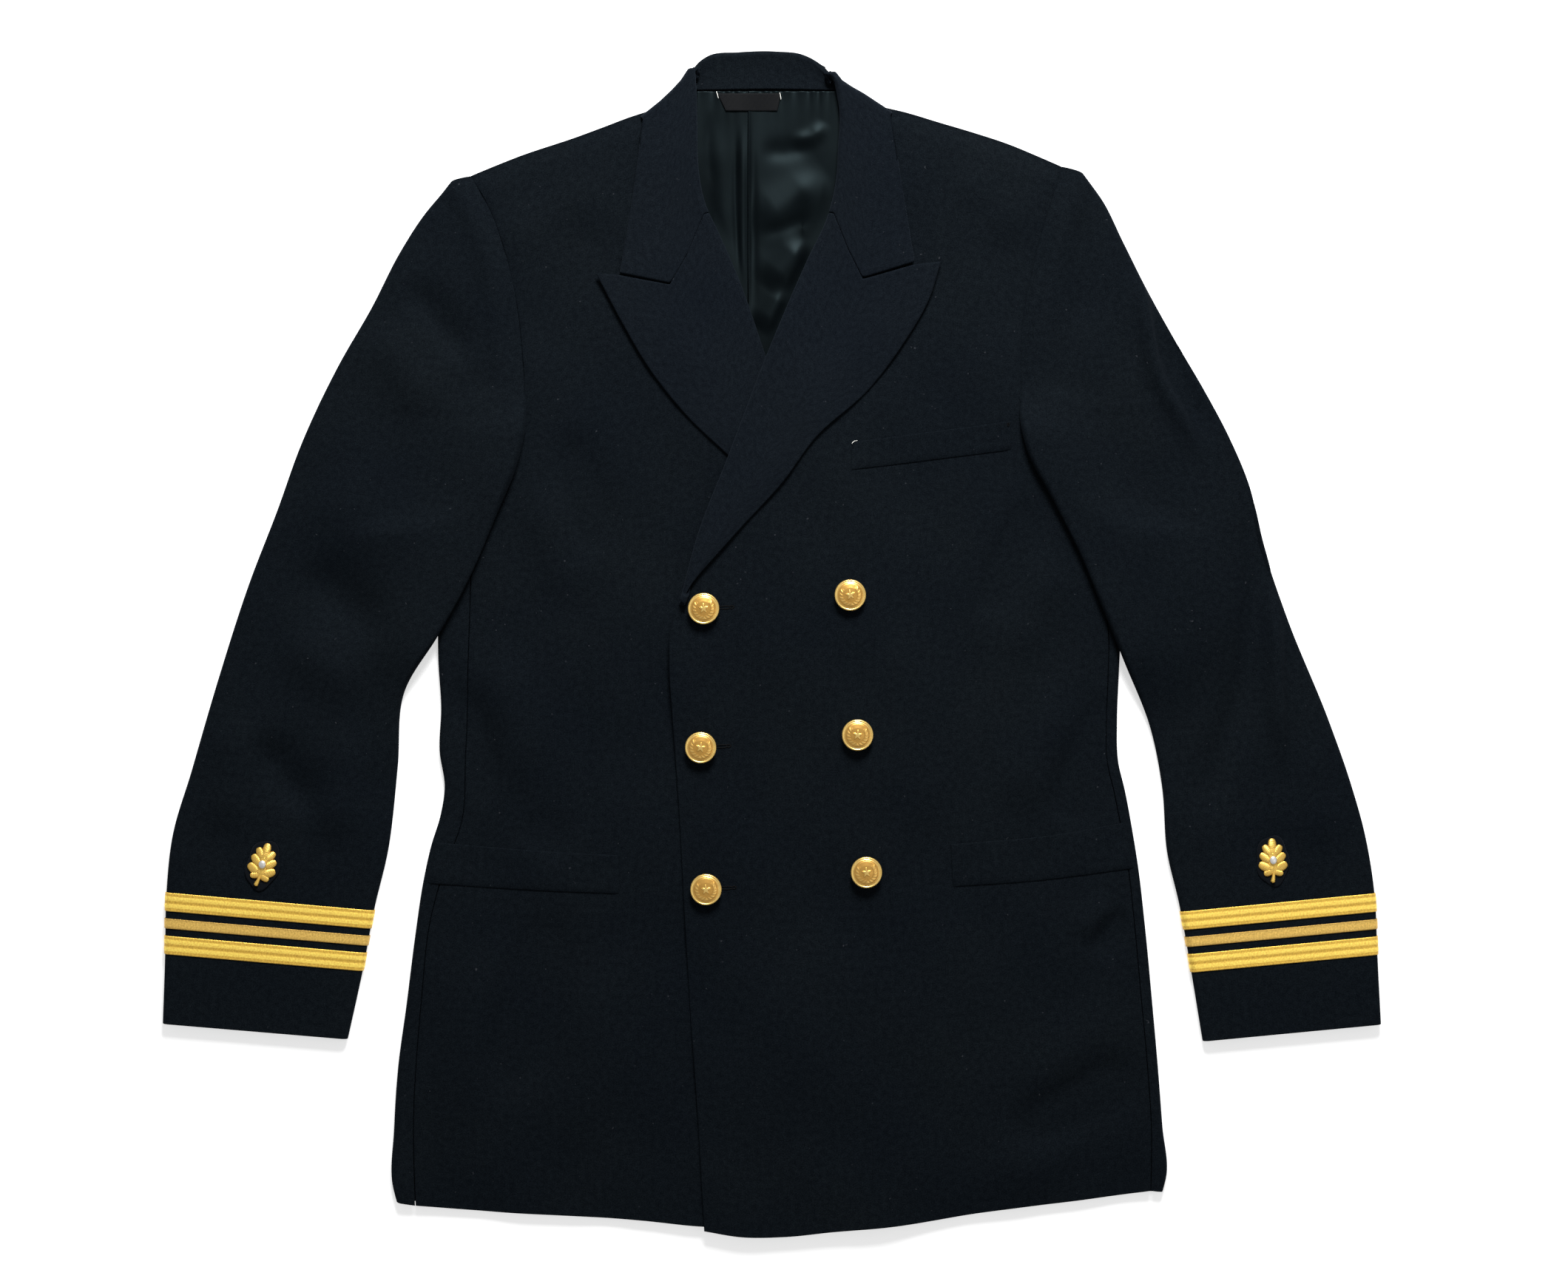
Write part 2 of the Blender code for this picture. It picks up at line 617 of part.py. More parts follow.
def sleeve_rows(side):
    """Outer and inner plan points of each row, from the cuff to the shoulder tip."""
    outer = line(OUTER[side], 200)
    head = line(ARMHOLE[side], HEAD_ROWS + 1) - (inward_x(side) * 1.0, 0)
    inner = np.vstack([line(INNER_LOW[side], ARM_ROWS), head[1:]])
    travel = np.r_[0.0, np.cumsum(np.hypot(*np.diff(inner, axis=0).T))]
    outer_travel = np.r_[0.0, np.cumsum(np.hypot(*np.diff(outer, axis=0).T))]
    at = travel / travel[-1] * outer_travel[-1]
    return np.stack([np.interp(at, outer_travel, outer[:, k]) for k in (0, 1)], axis=1), inner


def sleeve_sections(side):
    """Outer face of the top sleeve and of the under sleeve, row by row.

    The top sleeve wraps both folds.  Towards the shoulder its inner wrap opens out, and its
    edge then lies along the armhole seam.
    """
    turn = np.linspace(0, math.pi, 6)
    top_rows, under_rows = [], []
    for e, i in zip(*sleeve_rows(side)):
        width = np.linalg.norm(i - e)
        way = (i - e) / width
        wrapped = 1 - float(smooth(i[1], 150, 186))
        radius = min(SLEEVE_DEPTH / 2, 0.3 * width)
        wrap_e = min(OUTER_WRAP, 0.3 * width)
        wrap_i = radius + (min(INNER_WRAP, 0.3 * width) - radius) * wrapped
        low = np.linspace(wrap_e + 2 * SEAM, width - wrap_i * wrapped - 8 * SEAM, 6)
        middle = np.clip(low, radius + 0.5, width - radius - 0.5)
        end = width - radius + radius * np.sin(turn)
        end = end * wrapped + np.linspace(width - radius, width, 6) * (1 - wrapped)
        back = end[-1] - (wrap_i - radius + 0.05) * wrapped + 0.05 * (1 - wrapped)
        s = np.r_[wrap_e, radius * (1 - np.sin(turn)), middle, end, back]
        level = np.r_[0.0, (1 - np.cos(turn)) / 2, np.ones(6),
                      1 - (1 - np.cos(turn)) / 2 * wrapped, 1 - wrapped]
        plan = e + s[:, None] * way
        height = sleeve_floor(side, plan[:, 0], plan[:, 1]) + 2 * radius * level
        top_rows.append(np.column_stack([plan, height]))
        plan = e + low[:, None] * way
        under_rows.append(np.column_stack([plan, sleeve_floor(side, plan[:, 0], plan[:, 1])]))
    return np.array(top_rows), np.array(under_rows)


def make_sleeve(side):
    top, under = sleeve_sections(side)
    shell(f"sleeve_top_{side}", top, SLEEVE, up_at=(0.5, 0.5))
    shell(f"sleeve_under_{side}", under, SLEEVE, up=False)


# ---------------------------------------------------------------- sleeve lace and sprigs
LACE_GAP = 0.5


def sleeve_top_height(side, x, y):
    return sleeve_floor(side, x, y) + SLEEVE_DEPTH


def at_distance(points, distance):
    """The place on a line at a distance from its start."""
    fine = line(points, 300)
    travel = np.r_[0.0, np.cumsum(np.hypot(*np.diff(fine, axis=0).T))]
    return np.array([np.interp(distance, travel, fine[:, k]) for k in (0, 1)])


def make_lace(side, number):
    """One ring of lace round the cuff."""
    start = LACE_START + sum(LACE_WIDTHS[:number]) + number * LACE_SPACE
    radius = SLEEVE_DEPTH / 2
    out = LACE_GAP + LACE
    turn = np.linspace(0, math.pi, 6)
    rows = []
    for distance in (start, start + LACE_WIDTHS[number]):
        e, i = at_distance(OUTER[side], distance), at_distance(INNER_LOW[side], distance)
        width = np.linalg.norm(i - e)
        near = radius - (radius + out) * np.sin(turn)
        far = width - radius + (radius + out) * np.sin(turn)
        flat = np.array([0.33, 0.67]) * width
        s = np.r_[near, flat, far, flat[::-1]]
        low, high = -out, SLEEVE_DEPTH + out
        z = np.r_[radius - (radius + out) * np.cos(turn), high, high,
                  radius + (radius + out) * np.cos(turn), low, low]
        plan = e + s[:, None] * (i - e) / width
        rows.append(np.column_stack([plan, z + CUFF_LIFT]))
    grid = np.array(rows)
    grid = np.concatenate([grid, grid[:, :1]], axis=1)
    shell(f"lace_{side}_{number + 1}", grid, LACE, "lace", up_at=(0.0, 0.42), ring=True)


SPRIG = {"right": ((-362.0, -156.5), -15.0), "left": ((353.8, -153.5), 3.0)}
SPRIG_LONG = 31.0
SPRIG_WIDE = 20.0


def oval(place, tilt, wide, long, lobes, steps):
    """Outline round a place: an oval with a number of pointed lobes."""
    angle = np.linspace(0, 2 * math.pi, steps, endpoint=False)
    swell = 1.0 if lobes == 0 else 0.72 + 0.28 * np.abs(np.cos(lobes * (angle - math.pi / 2) / 2))
    x, y = 0.5 * wide * swell * np.cos(angle), 0.5 * long * swell * np.sin(angle)
    turn = math.radians(tilt)
    return (np.stack([x * math.cos(turn) - y * math.sin(turn),
                      x * math.sin(turn) + y * math.cos(turn)], axis=1) + place)


def make_sprig(side):
    """A felt patch with a leaf sprig in gilt wire and a silver bead."""
    place, tilt = SPRIG[side]
    z = float(sleeve_top_height(side, *place)) + LACE_GAP
    felt = oval(place, tilt, SPRIG_WIDE + 5, SPRIG_LONG + 4, 0, 20)
    plate(f"leaf_patch_{side}", raised(felt, np.full(20, z)), 1.0, "felt")
    leaf = oval(place, tilt, SPRIG_WIDE, SPRIG_LONG, 5, 30)
    plate(f"leaf_{side}", raised(leaf, np.full(30, z + 1.0 + SEAM)), 1.0, "gilt")
    bead = [(0, 3.4), (1.4, 3.0), (2.3, 1.9), (2.6, 0.9), (2.4, 0.0), (0, 0.0)]
    turned(f"bead_{side}", bead, (*place, z + 2.0 + 2 * SEAM), "silver", 10)


# ---------------------------------------------------------------- buttons
def make_button(number, place):
    """A domed shank button with a raised rim; it stands on its shank."""
    r = BUTTON_RADIUS
    profile = [(0, 7.2), (0.45 * r, 6.8), (0.78 * r, 5.6), (0.9 * r, 4.6), (r, 4.1),
               (r, 3.0), (0.85 * r, 2.2), (0.2 * r, 1.9), (0.18 * r, 0.3), (0, 0.3)]
    z = float(over_top(*place)) + LAY
    turned(f"button_{number}", profile, (*place, z), "gilt")


def make_all():
    for side in ("right", "left"):
        make_back(side)
        make_side(side)
        make_front(side)
        make_lapel(side)
        make_lining(side)
        make_sleeve(side)
        make_sprig(side)
        for number in range(len(LACE_WIDTHS)):
            make_lace(side, number)
    make_collar()
    make_stand()
    make_label()
    for name in WELTS:
        make_welt(name)
    for number, place in enumerate(BUTTONS, 1):
        make_button(number, place)


def clear_scene():
    for made in list(bpy.data.objects):
        bpy.data.objects.remove(made, do_unlink=True)
    jacket = bpy.data.collections.new("military_blazer")
    bpy.context.scene.collection.children.link(jacket)


clear_scene()
make_all()
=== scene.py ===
# %% [markdown]
# # A double-breasted dress jacket, laid out flat
# The jacket lies on its back with the front up, as it would on a cutting table. The packed
# model gives every piece its place. This lesson lays fine cloth, metal and thread over it,
# one kind of piece at a time, and each new piece hides the plain solid that it stands for.

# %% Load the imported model
import math

import bpy
import numpy as np
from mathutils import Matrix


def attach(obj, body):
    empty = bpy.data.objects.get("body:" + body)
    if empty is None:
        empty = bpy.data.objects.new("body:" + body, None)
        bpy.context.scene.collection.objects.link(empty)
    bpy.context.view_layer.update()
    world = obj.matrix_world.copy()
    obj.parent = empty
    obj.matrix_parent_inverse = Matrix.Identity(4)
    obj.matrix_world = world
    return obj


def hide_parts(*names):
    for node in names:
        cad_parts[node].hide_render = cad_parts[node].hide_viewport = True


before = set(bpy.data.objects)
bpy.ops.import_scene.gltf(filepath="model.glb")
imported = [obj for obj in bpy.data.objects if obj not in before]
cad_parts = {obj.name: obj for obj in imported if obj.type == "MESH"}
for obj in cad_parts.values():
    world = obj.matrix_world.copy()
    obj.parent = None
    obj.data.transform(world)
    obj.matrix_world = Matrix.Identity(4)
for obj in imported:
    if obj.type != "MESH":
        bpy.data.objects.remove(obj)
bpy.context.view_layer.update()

MM = 0.001

# %% [markdown]
# ## Sizes of the cut
# A tailor works from a few thicknesses and from the lines of the pattern. All of them are
# in millimetres, seen from above: +X is the wearer's left and +Y points to the collar. They
# follow the lines that the solids were made from, with small corrections at the ends of the
# collar, at the neck end of the shoulders and under the arms.

# %% Thicknesses and heights
BACK, FRONT, LAPEL, COLLAR, SLEEVE = 2.0, 2.4, 2.4, 2.4, 2.0
LINING, WELT, LACE, LABEL = 1.0, 1.3, 1.0, 0.6
HOLLOW = 3.0                        # air between the back and a front
SEAM = 0.3                          # gap between two sewn edges
LAY = 1.0                           # air under cloth that only lies on other cloth
SEWN = 0.55                         # how wide the face rolls in where an edge is sewn
BODY = BACK + HOLLOW + FRONT
SLEEVE_DEPTH = 2 * SLEEVE + 3.4
CUFF_LIFT = LACE + 0.6
UNDER_EDGE_X, UNDER_BREAK, CROSS = 68.0, (63.0, 20.0), (-5.3, 203.7)
OVER_LOW = FRONT + LAY
OVER_HIGH = OVER_LOW + LAPEL + LAY
STAND_TOP = 6.0
ROLL_CLEAR = 2.4
BACK_SEAM_INSET = 35.0
CENTRE_BACK, PLEAT_X = -5.0, -18.0
BACK_LOW, BACK_HIGH, NECK_SEAM_Y = -409.0, 393.0, 392.8
print("the body is", BODY, "mm thick where it lies flat")

# %% Lines of the body
FOLD = {
    "right": [(-268.0, -396.5), (-270.9, -385), (-270.0, -345), (-267.0, -300), (-261.2, -257),
              (-255.0, -208), (-249.0, -168), (-243.5, -143), (-237.0, -122), (-234.0, -102),
              (-237.6, -76), (-236.5, -45), (-238.5, -12), (-238.5, 30), (-236.0, 80)],
    "left": [(276.5, -389.5), (279.3, -378), (276.5, -343), (273.2, -300), (269.4, -257),
             (264.0, -200), (259.0, -157), (254.8, -131), (249.5, -103), (245.2, -85),
             (244.2, -55), (245.3, -25), (246.5, 5), (245.0, 40), (240.0, 80)]}
SIDE_SEAM = {
    "right": [(-254.6, -399), (-256, -345), (-254, -297), (-250, -250), (-244, -197),
              (-234, -160), (-222, -127), (-219, -80), (-217.5, -30), (-216, 23), (-214, 88)],
    "left": [(268.0, -388.5), (268.2, -343), (265.5, -300), (261.6, -257), (256.4, -200),
             (251.6, -157), (247.0, -131), (241.5, -103), (237.4, -85), (236.6, -55),
             (237.5, -25), (238.0, 5), (234.0, 40), (222.0, 88)]}
UNDERARM = {"right": [(-214, 88), (-196, 101), (-183, 132), (-177.4, 165), (-177.4, 192)],
            "left": [(222, 88), (200, 104), (184, 132), (176.5, 158), (176.0, 180)]}
ARMHOLE = {"right": [(-177.4, 192), (-182, 237), (-192.5, 283.5), (-205, 315), (-216, 333.0)],
           "left": [(176.0, 180), (176.5, 222), (183.5, 262), (194.5, 304), (206, 339.5)]}
SHOULDER = {
    "right": [(-57.5, 389), (-84, 379), (-99, 374.2), (-120, 366.5), (-137.6, 360.3),
              (-180, 347.0), (-216, 333.0)],
    "left": [(49.0, 389), (73, 382.0), (92, 377.4), (117.6, 369.8), (167, 355.2), (206, 339.5)]}
HEM = {
    "right": [(-254.6, -399), (-194, -403.7), (-141, -406.4), (-95, -409.5), (-52, -413.6),
              (10, -414.5), (68.0, -411.0)],
    "left": [(268.0, -388.5), (220, -394.8), (149, -403.7), (96, -412), (42.8, -417),
             (7.4, -420.6), (-23.6, -420.5), (-49.4, -416.5)]}
BACK_HEM = {"right": [(-233.0, -396), (-150, -402), (-60, -408), (-5.0, -409)],
            "left": [(241.5, -387), (150, -399), (60, -408), (-5.0, -409)]}
FRONT_EDGE = {
    "right": [(68.0, -411.0), (68.0, -250), (68.0, -100), (66, -20), (63, 20)],
    "left": [(-49.4, -416.5), (-54.6, -325), (-59, -265), (-63, -197), (-65.6, -147.5),
             (-68, -105), (-71.8, -51.5), (-74, -14), (-73.2, 8), (-69.5, 21), (-66.6, 30)]}
BACK_TOP = {"right": (-199, 98), "left": (203, 101)}
print("half a chest:", FOLD["left"][-2][0] - FOLD["right"][-2][0], "mm")

# %% Lines of the lapels and the collar
ROLL = {
    "right": [(63, 20), (30, 108), (-5.3, 203.7), (-25, 260), (-38, 290), (-49, 314.5),
              (-53, 335.5), (-54, 365), (-54.5, 391)],
    "left": [(-69, 20.5), (-52.5, 81), (-32.6, 132), (-5.3, 203.7), (25, 275), (38, 303),
             (44, 328), (45.5, 350), (45.5, 384), (42.0, 396), (36, 403.2)]}
ROLL_GORGE = {"right": (-46.5, 306.0), "left": (40.5, 306.0)}
LAPEL_EDGE = {
    "right": [(44, 46), (12, 86), (-32.6, 134), (-59, 159), (-88, 195), (-107, 227), (-126, 263)],
    "left": [(-65, 31), (-60, 39), (-54, 47), (-41, 62), (-24, 81), (7, 115), (29, 145),
             (68, 181), (92, 213), (110, 244), (118.7, 271.4)]}
GORGE = {
    "right": [(-126, 263), (-109.7, 262), (-92, 258.8), (-74, 255.7), (-62, 277), (-50, 306)],
    "left": [(118.7, 271.4), (100.3, 269.5), (82, 264.3), (64, 259.4), (54, 280), (44, 306)]}
COLLAR_EDGE = {"right": [(-109.2, 263.4), (-102, 315.5), (-95.5, 374)],
               "left": [(100.0, 271.2), (92, 328), (85, 377)]}
COLLAR_TURN = {
    "right": [(-53, 407.6), (-59.6, 399.9), (-67.5, 393), (-77.5, 385.3), (-94.8, 374)],
    "left": [(34.2, 402.8), (40.2, 397.4), (48.7, 393.4), (58.5, 389.4), (84.5, 377)]}
COLLAR_TOP = [(-46.5, 418.3), (-25, 420.9), (2.6, 421.4), (20, 419.4), (31, 414.0)]
COLLAR_BACK_EDGE = [(-82, 376), (-40, 374), (-5, 374), (30, 374), (70, 379)]
LINING_EDGE = {
    "right": [(-58, 215), (-70, 295), (-64, 335), (-56, 366), (-54.5, NECK_SEAM_Y)],
    "left": [(50, 215), (59, 295), (54, 335), (47.5, 366), (46.5, NECK_SEAM_Y)]}

# %% Lines of the pockets, darts, buttons and sleeves
WELTS = {
    "breast_welt": ("left", [(54.0, 123.0), (169.0, 137.6)], [(55.7, 143.3), (168.5, 158.3)]),
    "hip_welt_right": ("right", [(-246.0, -170.0), (-180, -174.5), (-109.0, -177.5)],
                       [(-240.0, -140.5), (-180, -145.5), (-110.0, -149.6)]),
    "hip_welt_left": ("left", [(127.0, -172.7), (189.5, -168.0), (256.0, -159.4)],
                      [(125.5, -141.8), (186.0, -136.8), (249.5, -126.5)])}
DARTS = {"right": [(-133, 62), (-135, -10), (-137, -80), (-139, -144)],
         "left": [(136, 64), (140, 0), (147, -66), (158, -136)]}
BUTTON_RADIUS = 11.15
BUTTONS = [(-49.4, 25.2), (-51.5, -73.0), (-47.8, -173.3),
           (54.1, 34.7), (59.3, -64.1), (65.6, -161.2)]
OUTER = {
    "right": [(-434.0, -269.5), (-432.4, -222), (-431.4, -176), (-427.6, -139), (-413, -87),
              (-394, -22), (-373, 43), (-353, 95), (-336, 142), (-309, 199), (-286, 239),
              (-265.5, 279), (-248, 306), (-234.5, 322), (-228.5, 329)],
    "left": [(431.5, -270), (429.0, -222), (426.8, -176), (422, -144), (411, -101), (395, -55),
             (365, 19), (347.5, 72), (338.5, 112), (324, 147), (306.5, 180), (286, 215),
             (265.5, 252), (248.5, 286), (233.5, 316), (219.5, 334.5)]}
INNER = {
    "right": [(-302.6, -280.5), (-292, -232), (-283.5, -187), (-274, -147), (-267.3, -87),
              (-262.5, -35), (-238, 5), (-217, 43), (-196.5, 90), (-180.6, 130), (-176.0, 152),
              (-174.9, 168), (-175.6, 191)],
    "left": [(304.8, -282), (296.4, -231), (288, -184), (279.6, -148), (276.0, -100),
             (267.5, -58.5), (248, -12), (232, 27), (217, 63.5), (196.5, 104), (179.6, 136),
             (175.0, 154), (173.5, 168), (174.2, 180)]}
OUTER_WRAP, INNER_WRAP = 20.0, 15.0
LACE_START = 49.8
LACE_WIDTHS = (13.2, 7.2, 13.2)
LACE_SPACE = 5.1
LACE_GAP = 0.5
SPRIG = {"right": ((-362.0, -156.5), -15.0), "left": ((353.8, -153.5), 3.0)}
print("pockets:", len(WELTS), "buttons:", len(BUTTONS), "lace rings:", 2 * len(LACE_WIDTHS))

# %% [markdown]
# ## From lines to a grid
# Every panel of the jacket is a patch between four lines of the pattern. A Coons patch does
# that: it blends the two side lines across and the two end lines up, and takes the corners
# away once. The grid lines lie closer together at the edges, where the cloth turns over.

# %% Curves and patches
def smooth(value, low, high):
    """Zero below low, one above high, and a soft S between."""
    t = np.clip((np.asarray(value, float) - low) / (high - low), 0.0, 1.0)
    return t * t * (3.0 - 2.0 * t)


def along(points, shares):
    """Points of a polyline at the given shares of its length."""
    p = np.asarray(points, float)
    at = np.r_[0.0, np.cumsum(np.linalg.norm(np.diff(p, axis=0), axis=1))]
    return np.stack([np.interp(np.asarray(shares) * at[-1], at, c) for c in p.T], axis=1)


def line(points, count):
    """Evenly spaced points on the cubic curve whose slope at a point is its neighbours'."""
    p = np.array(points, float)
    at = np.r_[0.0, np.cumsum(np.hypot(*np.diff(p, axis=0).T))]
    if len(p) == 2:
        return p[0] + np.linspace(0, 1, count)[:, None] * (p[1] - p[0])
    tangent = np.gradient(p, at, axis=0)
    s = np.linspace(0, at[-1], 24 * len(p))
    k = np.clip(np.searchsorted(at, s) - 1, 0, len(p) - 2)
    h = (at[k + 1] - at[k])[:, None]
    t = ((s - at[k])[:, None]) / h
    fine = ((2 * t**3 - 3 * t**2 + 1) * p[k] + (t**3 - 2 * t**2 + t) * h * tangent[k]
            + (3 * t**2 - 2 * t**3) * p[k + 1] + (t**3 - t**2) * h * tangent[k + 1])
    return along(fine, np.linspace(0, 1, count))


def at_height(points, y):
    """The places where a line that runs up the jacket has the heights y."""
    p = np.asarray(points, float)
    return np.stack([np.interp(y, p[:, 1], p[:, 0]), y], axis=1)


def pinned(points, first, last):
    """A line moved a little so that it starts and ends where its neighbours do."""
    s = np.linspace(0, 1, len(points))[:, None]
    return points + (1 - s) * (first - points[0]) + s * (last - points[-1])


EDGE_STEPS = np.array([0.0, 0.14, 0.5, 1.1, 2.0, 3.2])     # grid lines beside an edge


def shares(length, count, start=True, end=True):
    """Shares of a length, even in the middle and close together near its finished ends."""
    near = EDGE_STEPS / length
    low, high = near[-1] * start, 1 - near[-1] * end
    middle = np.linspace(low, high, count)
    return np.r_[near[:-1] if start else [], middle, (1 - near[::-1])[1:] if end else []]


def patch(bottom, top, start, end, u, v):
    """Coons patch: the two blends between opposite lines, less the blend of the corners."""
    u, v = u[None, :, None], v[:, None, None]
    ruled = (1 - v) * bottom[None] + v * top[None] + (1 - u) * start[:, None] + u * end[:, None]
    corners = ((1 - u) * (1 - v) * bottom[0] + u * (1 - v) * bottom[-1]
               + (1 - u) * v * top[0] + u * v * top[-1])
    return ruled - corners


def raised(plan, height):
    """A plan with its heights."""
    return np.concatenate([plan, np.broadcast_to(height, plan.shape[:-1])[..., None]], axis=-1)


def inward(side):
    """1 on the wearer's right, where the middle of the body is towards +X, else -1."""
    return 1 if side == "right" else -1


print("a panel 300 mm wide gets", len(shares(300, 90)), "lines across")

# %% [markdown]
# ## From a grid to cloth
# Pressed cloth has no sharp edge: where it is turned in, its face rolls round to its back.
# Each panel is therefore one closed skin. A face and a back start from the same grid, move
# apart along its normals, and come together again along a quarter circle at every edge.

# %% Closed skins
def row_travel(grid):
    """Distance along each row from its first point."""
    step = np.linalg.norm(np.diff(grid, axis=1), axis=-1)
    return np.concatenate([np.zeros((len(grid), 1)), np.cumsum(step, axis=1)], axis=1)


def column_travel(grid):
    """Distance up each column from its first point."""
    return row_travel(grid.transpose(1, 0, 2)).T


def grid_normals(grid, wrap=False):
    """Unit cross products of the grid's two directions."""
    wide = np.concatenate([grid[:, -2:-1], grid, grid[:, 1:2]], axis=1) if wrap else grid
    normal = np.cross(np.gradient(wide, axis=1), np.gradient(wide, axis=0))
    normal /= np.linalg.norm(normal, axis=-1, keepdims=True) + 1e-12
    return normal[:, 1:-1] if wrap else normal


def cells(index):
    """The four corners of every cell of a grid of point numbers."""
    return np.stack([index[:-1, :-1], index[:-1, 1:], index[1:, 1:], index[1:, :-1]],
                    axis=-1).reshape(-1, 4)


def put(name, points, faces, finish, uv=None):
    """A mesh object from points in millimetres, with smooth shading and one finish."""
    mesh = bpy.data.meshes.new(name)
    mesh.from_pydata((np.asarray(points) * MM).tolist(), [], faces)
    if uv is not None:
        mesh.uv_layers.new(name="cut").data.foreach_set("uv", uv.astype(np.float32).ravel())
    mesh.shade_smooth()
    mesh.materials.append(finish)
    made = bpy.data.objects.new(name, mesh)
    bpy.context.scene.collection.objects.link(made)
    return made


def cloth(name, grid, thickness, finish, facing=1, look=(0.5, 0.5), wrap=False, uv=None,
          nose=None):
    """One closed piece of cloth from a grid of points on its outer face.

    Face: the grid, moved in by a drop.  Back: the grid, moved in by the thickness less the
    drop.  The drop is half the thickness at an edge and fades along a quarter circle, which
    is nose wide: narrow where the edge is sewn to another.
    facing says whether the face looks up (1) or down (-1) at the place look in the grid.
    """
    normal = grid_normals(grid, wrap)
    i, j = (int(share * (n - 1)) for share, n in zip(look, grid.shape))
    if normal[i, j, 2] * facing < 0:
        grid, normal = grid[:, ::-1], -normal[:, ::-1]
        uv = None if uv is None else uv[:, ::-1]
    up, across = column_travel(grid), row_travel(grid)
    away = np.minimum(up, up[-1:] - up)
    if not wrap:
        away = np.minimum(away, np.minimum(across, across[:, -1:] - across))
    nose = nose or thickness / 2
    bend = 1 - np.minimum(away, nose) / nose
    drop = (thickness / 2 * (1 - np.sqrt(np.maximum(1 - bend**2, 0))))[..., None]
    face, back = grid - normal * drop, grid - normal * (thickness - drop)
    if uv is None:
        middle = grid.shape[1] // 2
        uv = np.stack([across - across[:, middle:middle + 1],
                       np.broadcast_to(up[:, middle:middle + 1], up.shape)], axis=-1) * MM
    rows, cols = grid.shape[0], grid.shape[1] - wrap
    face, back = face[:, :cols], back[:, :cols]
    index = np.arange(rows * cols).reshape(rows, cols)
    inside = (slice(1, -1), slice(None) if wrap else slice(1, -1))
    behind = index.copy()
    behind[inside] = rows * cols + np.arange(index[inside].size).reshape(index[inside].shape)
    if wrap:
        index, behind = (np.concatenate([k, k[:, :1]], axis=1) for k in (index, behind))
    corner = cells(np.arange(uv.shape[0] * uv.shape[1]).reshape(uv.shape[:2]))
    flat_uv = uv.reshape(-1, 2)
    faces = np.concatenate([cells(index), cells(behind)[:, ::-1]])
    both = np.concatenate([flat_uv[corner], flat_uv[corner[:, ::-1]]])
    points = np.concatenate([face.reshape(-1, 3), back[inside].reshape(-1, 3)])
    points[:, 2] = np.maximum(points[:, 2], 0.0)
    made = put(name, points, faces.tolist(), finish, both)
    cut = np.linalg.norm(np.cross(grid[1:, :-1] - grid[:-1, :-1], grid[:-1, 1:] - grid[:-1, :-1]),
                         axis=-1).sum()
    made["cut_mm"] = [float(across[:, -1].max()), float(up[-1].max()), float(cut)]
    return made


def ringed(rings):
    """Points and faces of a closed skin over a stack of rings, whose end rings are points."""
    count, around = rings.shape[:2]
    points = np.concatenate([rings[0].mean(0)[None], rings[1:-1].reshape(-1, 3),
                             rings[-1].mean(0)[None]])
    index = 1 + np.arange((count - 2) * around).reshape(count - 2, around)
    index = np.concatenate([index, index[:, :1]], axis=1)
    last = len(points) - 1
    first_fan = np.stack([np.zeros(around, int), index[0, 1:], index[0, :-1]], axis=1)
    last_fan = np.stack([np.full(around, last), index[-1, :-1], index[-1, 1:]], axis=1)
    quads = cells(index)
    a, b, c = (points[quads[:, k]] - points.mean(0) for k in (0, 1, 2))
    inside_out = (a * np.cross(b, c)).sum() < 0
    faces = quads.tolist() + first_fan.tolist() + last_fan.tolist()
    return points, [face[::-1] for face in faces] if inside_out else faces


def joined(name, skins, finish):
    """One object out of several closed skins."""
    starts = np.cumsum([0] + [len(points) for points, _ in skins])
    faces = [[k + int(start) for k in face]
             for (_, part), start in zip(skins, starts) for face in part]
    return put(name, np.concatenate([points for points, _ in skins]), faces, finish)


def spindle(path, wide, high, around=12, floor=None):
    """A closed tube along a path, each ring an ellipse of half sizes wide and high.

    The wide axis lies across the path in plan.  Below floor it is flattened.
    """
    path = np.asarray(path, float)
    way = np.gradient(path, axis=0)
    way /= np.linalg.norm(way, axis=1)[:, None]
    flat = np.stack([-way[:, 1], way[:, 0], np.zeros(len(way))], axis=1)
    flat /= np.linalg.norm(flat, axis=1)[:, None] + 1e-9
    rise = np.cross(way, flat)
    angle = np.linspace(0, 2 * math.pi, around, endpoint=False)
    wide, high = (np.broadcast_to(v, len(path))[:, None, None] for v in (wide, high))
    rings = (path[:, None] + wide * np.cos(angle)[None, :, None] * flat[:, None]
             + high * np.sin(angle)[None, :, None] * rise[:, None])
    if floor is not None:
        rings[..., 2] = np.maximum(rings[..., 2], floor)
    return ringed(rings)


print("a panel is one closed skin; stitches, buttons and beads are stacks of rings")

# %% [markdown]
# ## Where each piece rides
# Nothing on the jacket moves by itself, so every piece rides on the one body, root. A piece of
# cloth also tells the size it was cut to. Laid cloth keeps its size, so the cut is measured on
# its own outer face.

# %% Placing helpers
def lay(piece, slot, *nodes):
    """The piece rides on the jacket's one body and stands for the named solids."""
    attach(piece, "root")
    if nodes:
        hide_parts(*nodes)
    return piece


def cut_sheet(piece):
    """Prints the width, length and area of a laid sheet's cut."""
    width, length, area = piece["cut_mm"]
    width, length, area = width * MM, length * MM, area * MM * MM
    area = min(area, width * length)
    print(f"cut {piece.name}: {width:.3f} x {length:.3f} m, {area:.4f} m2")


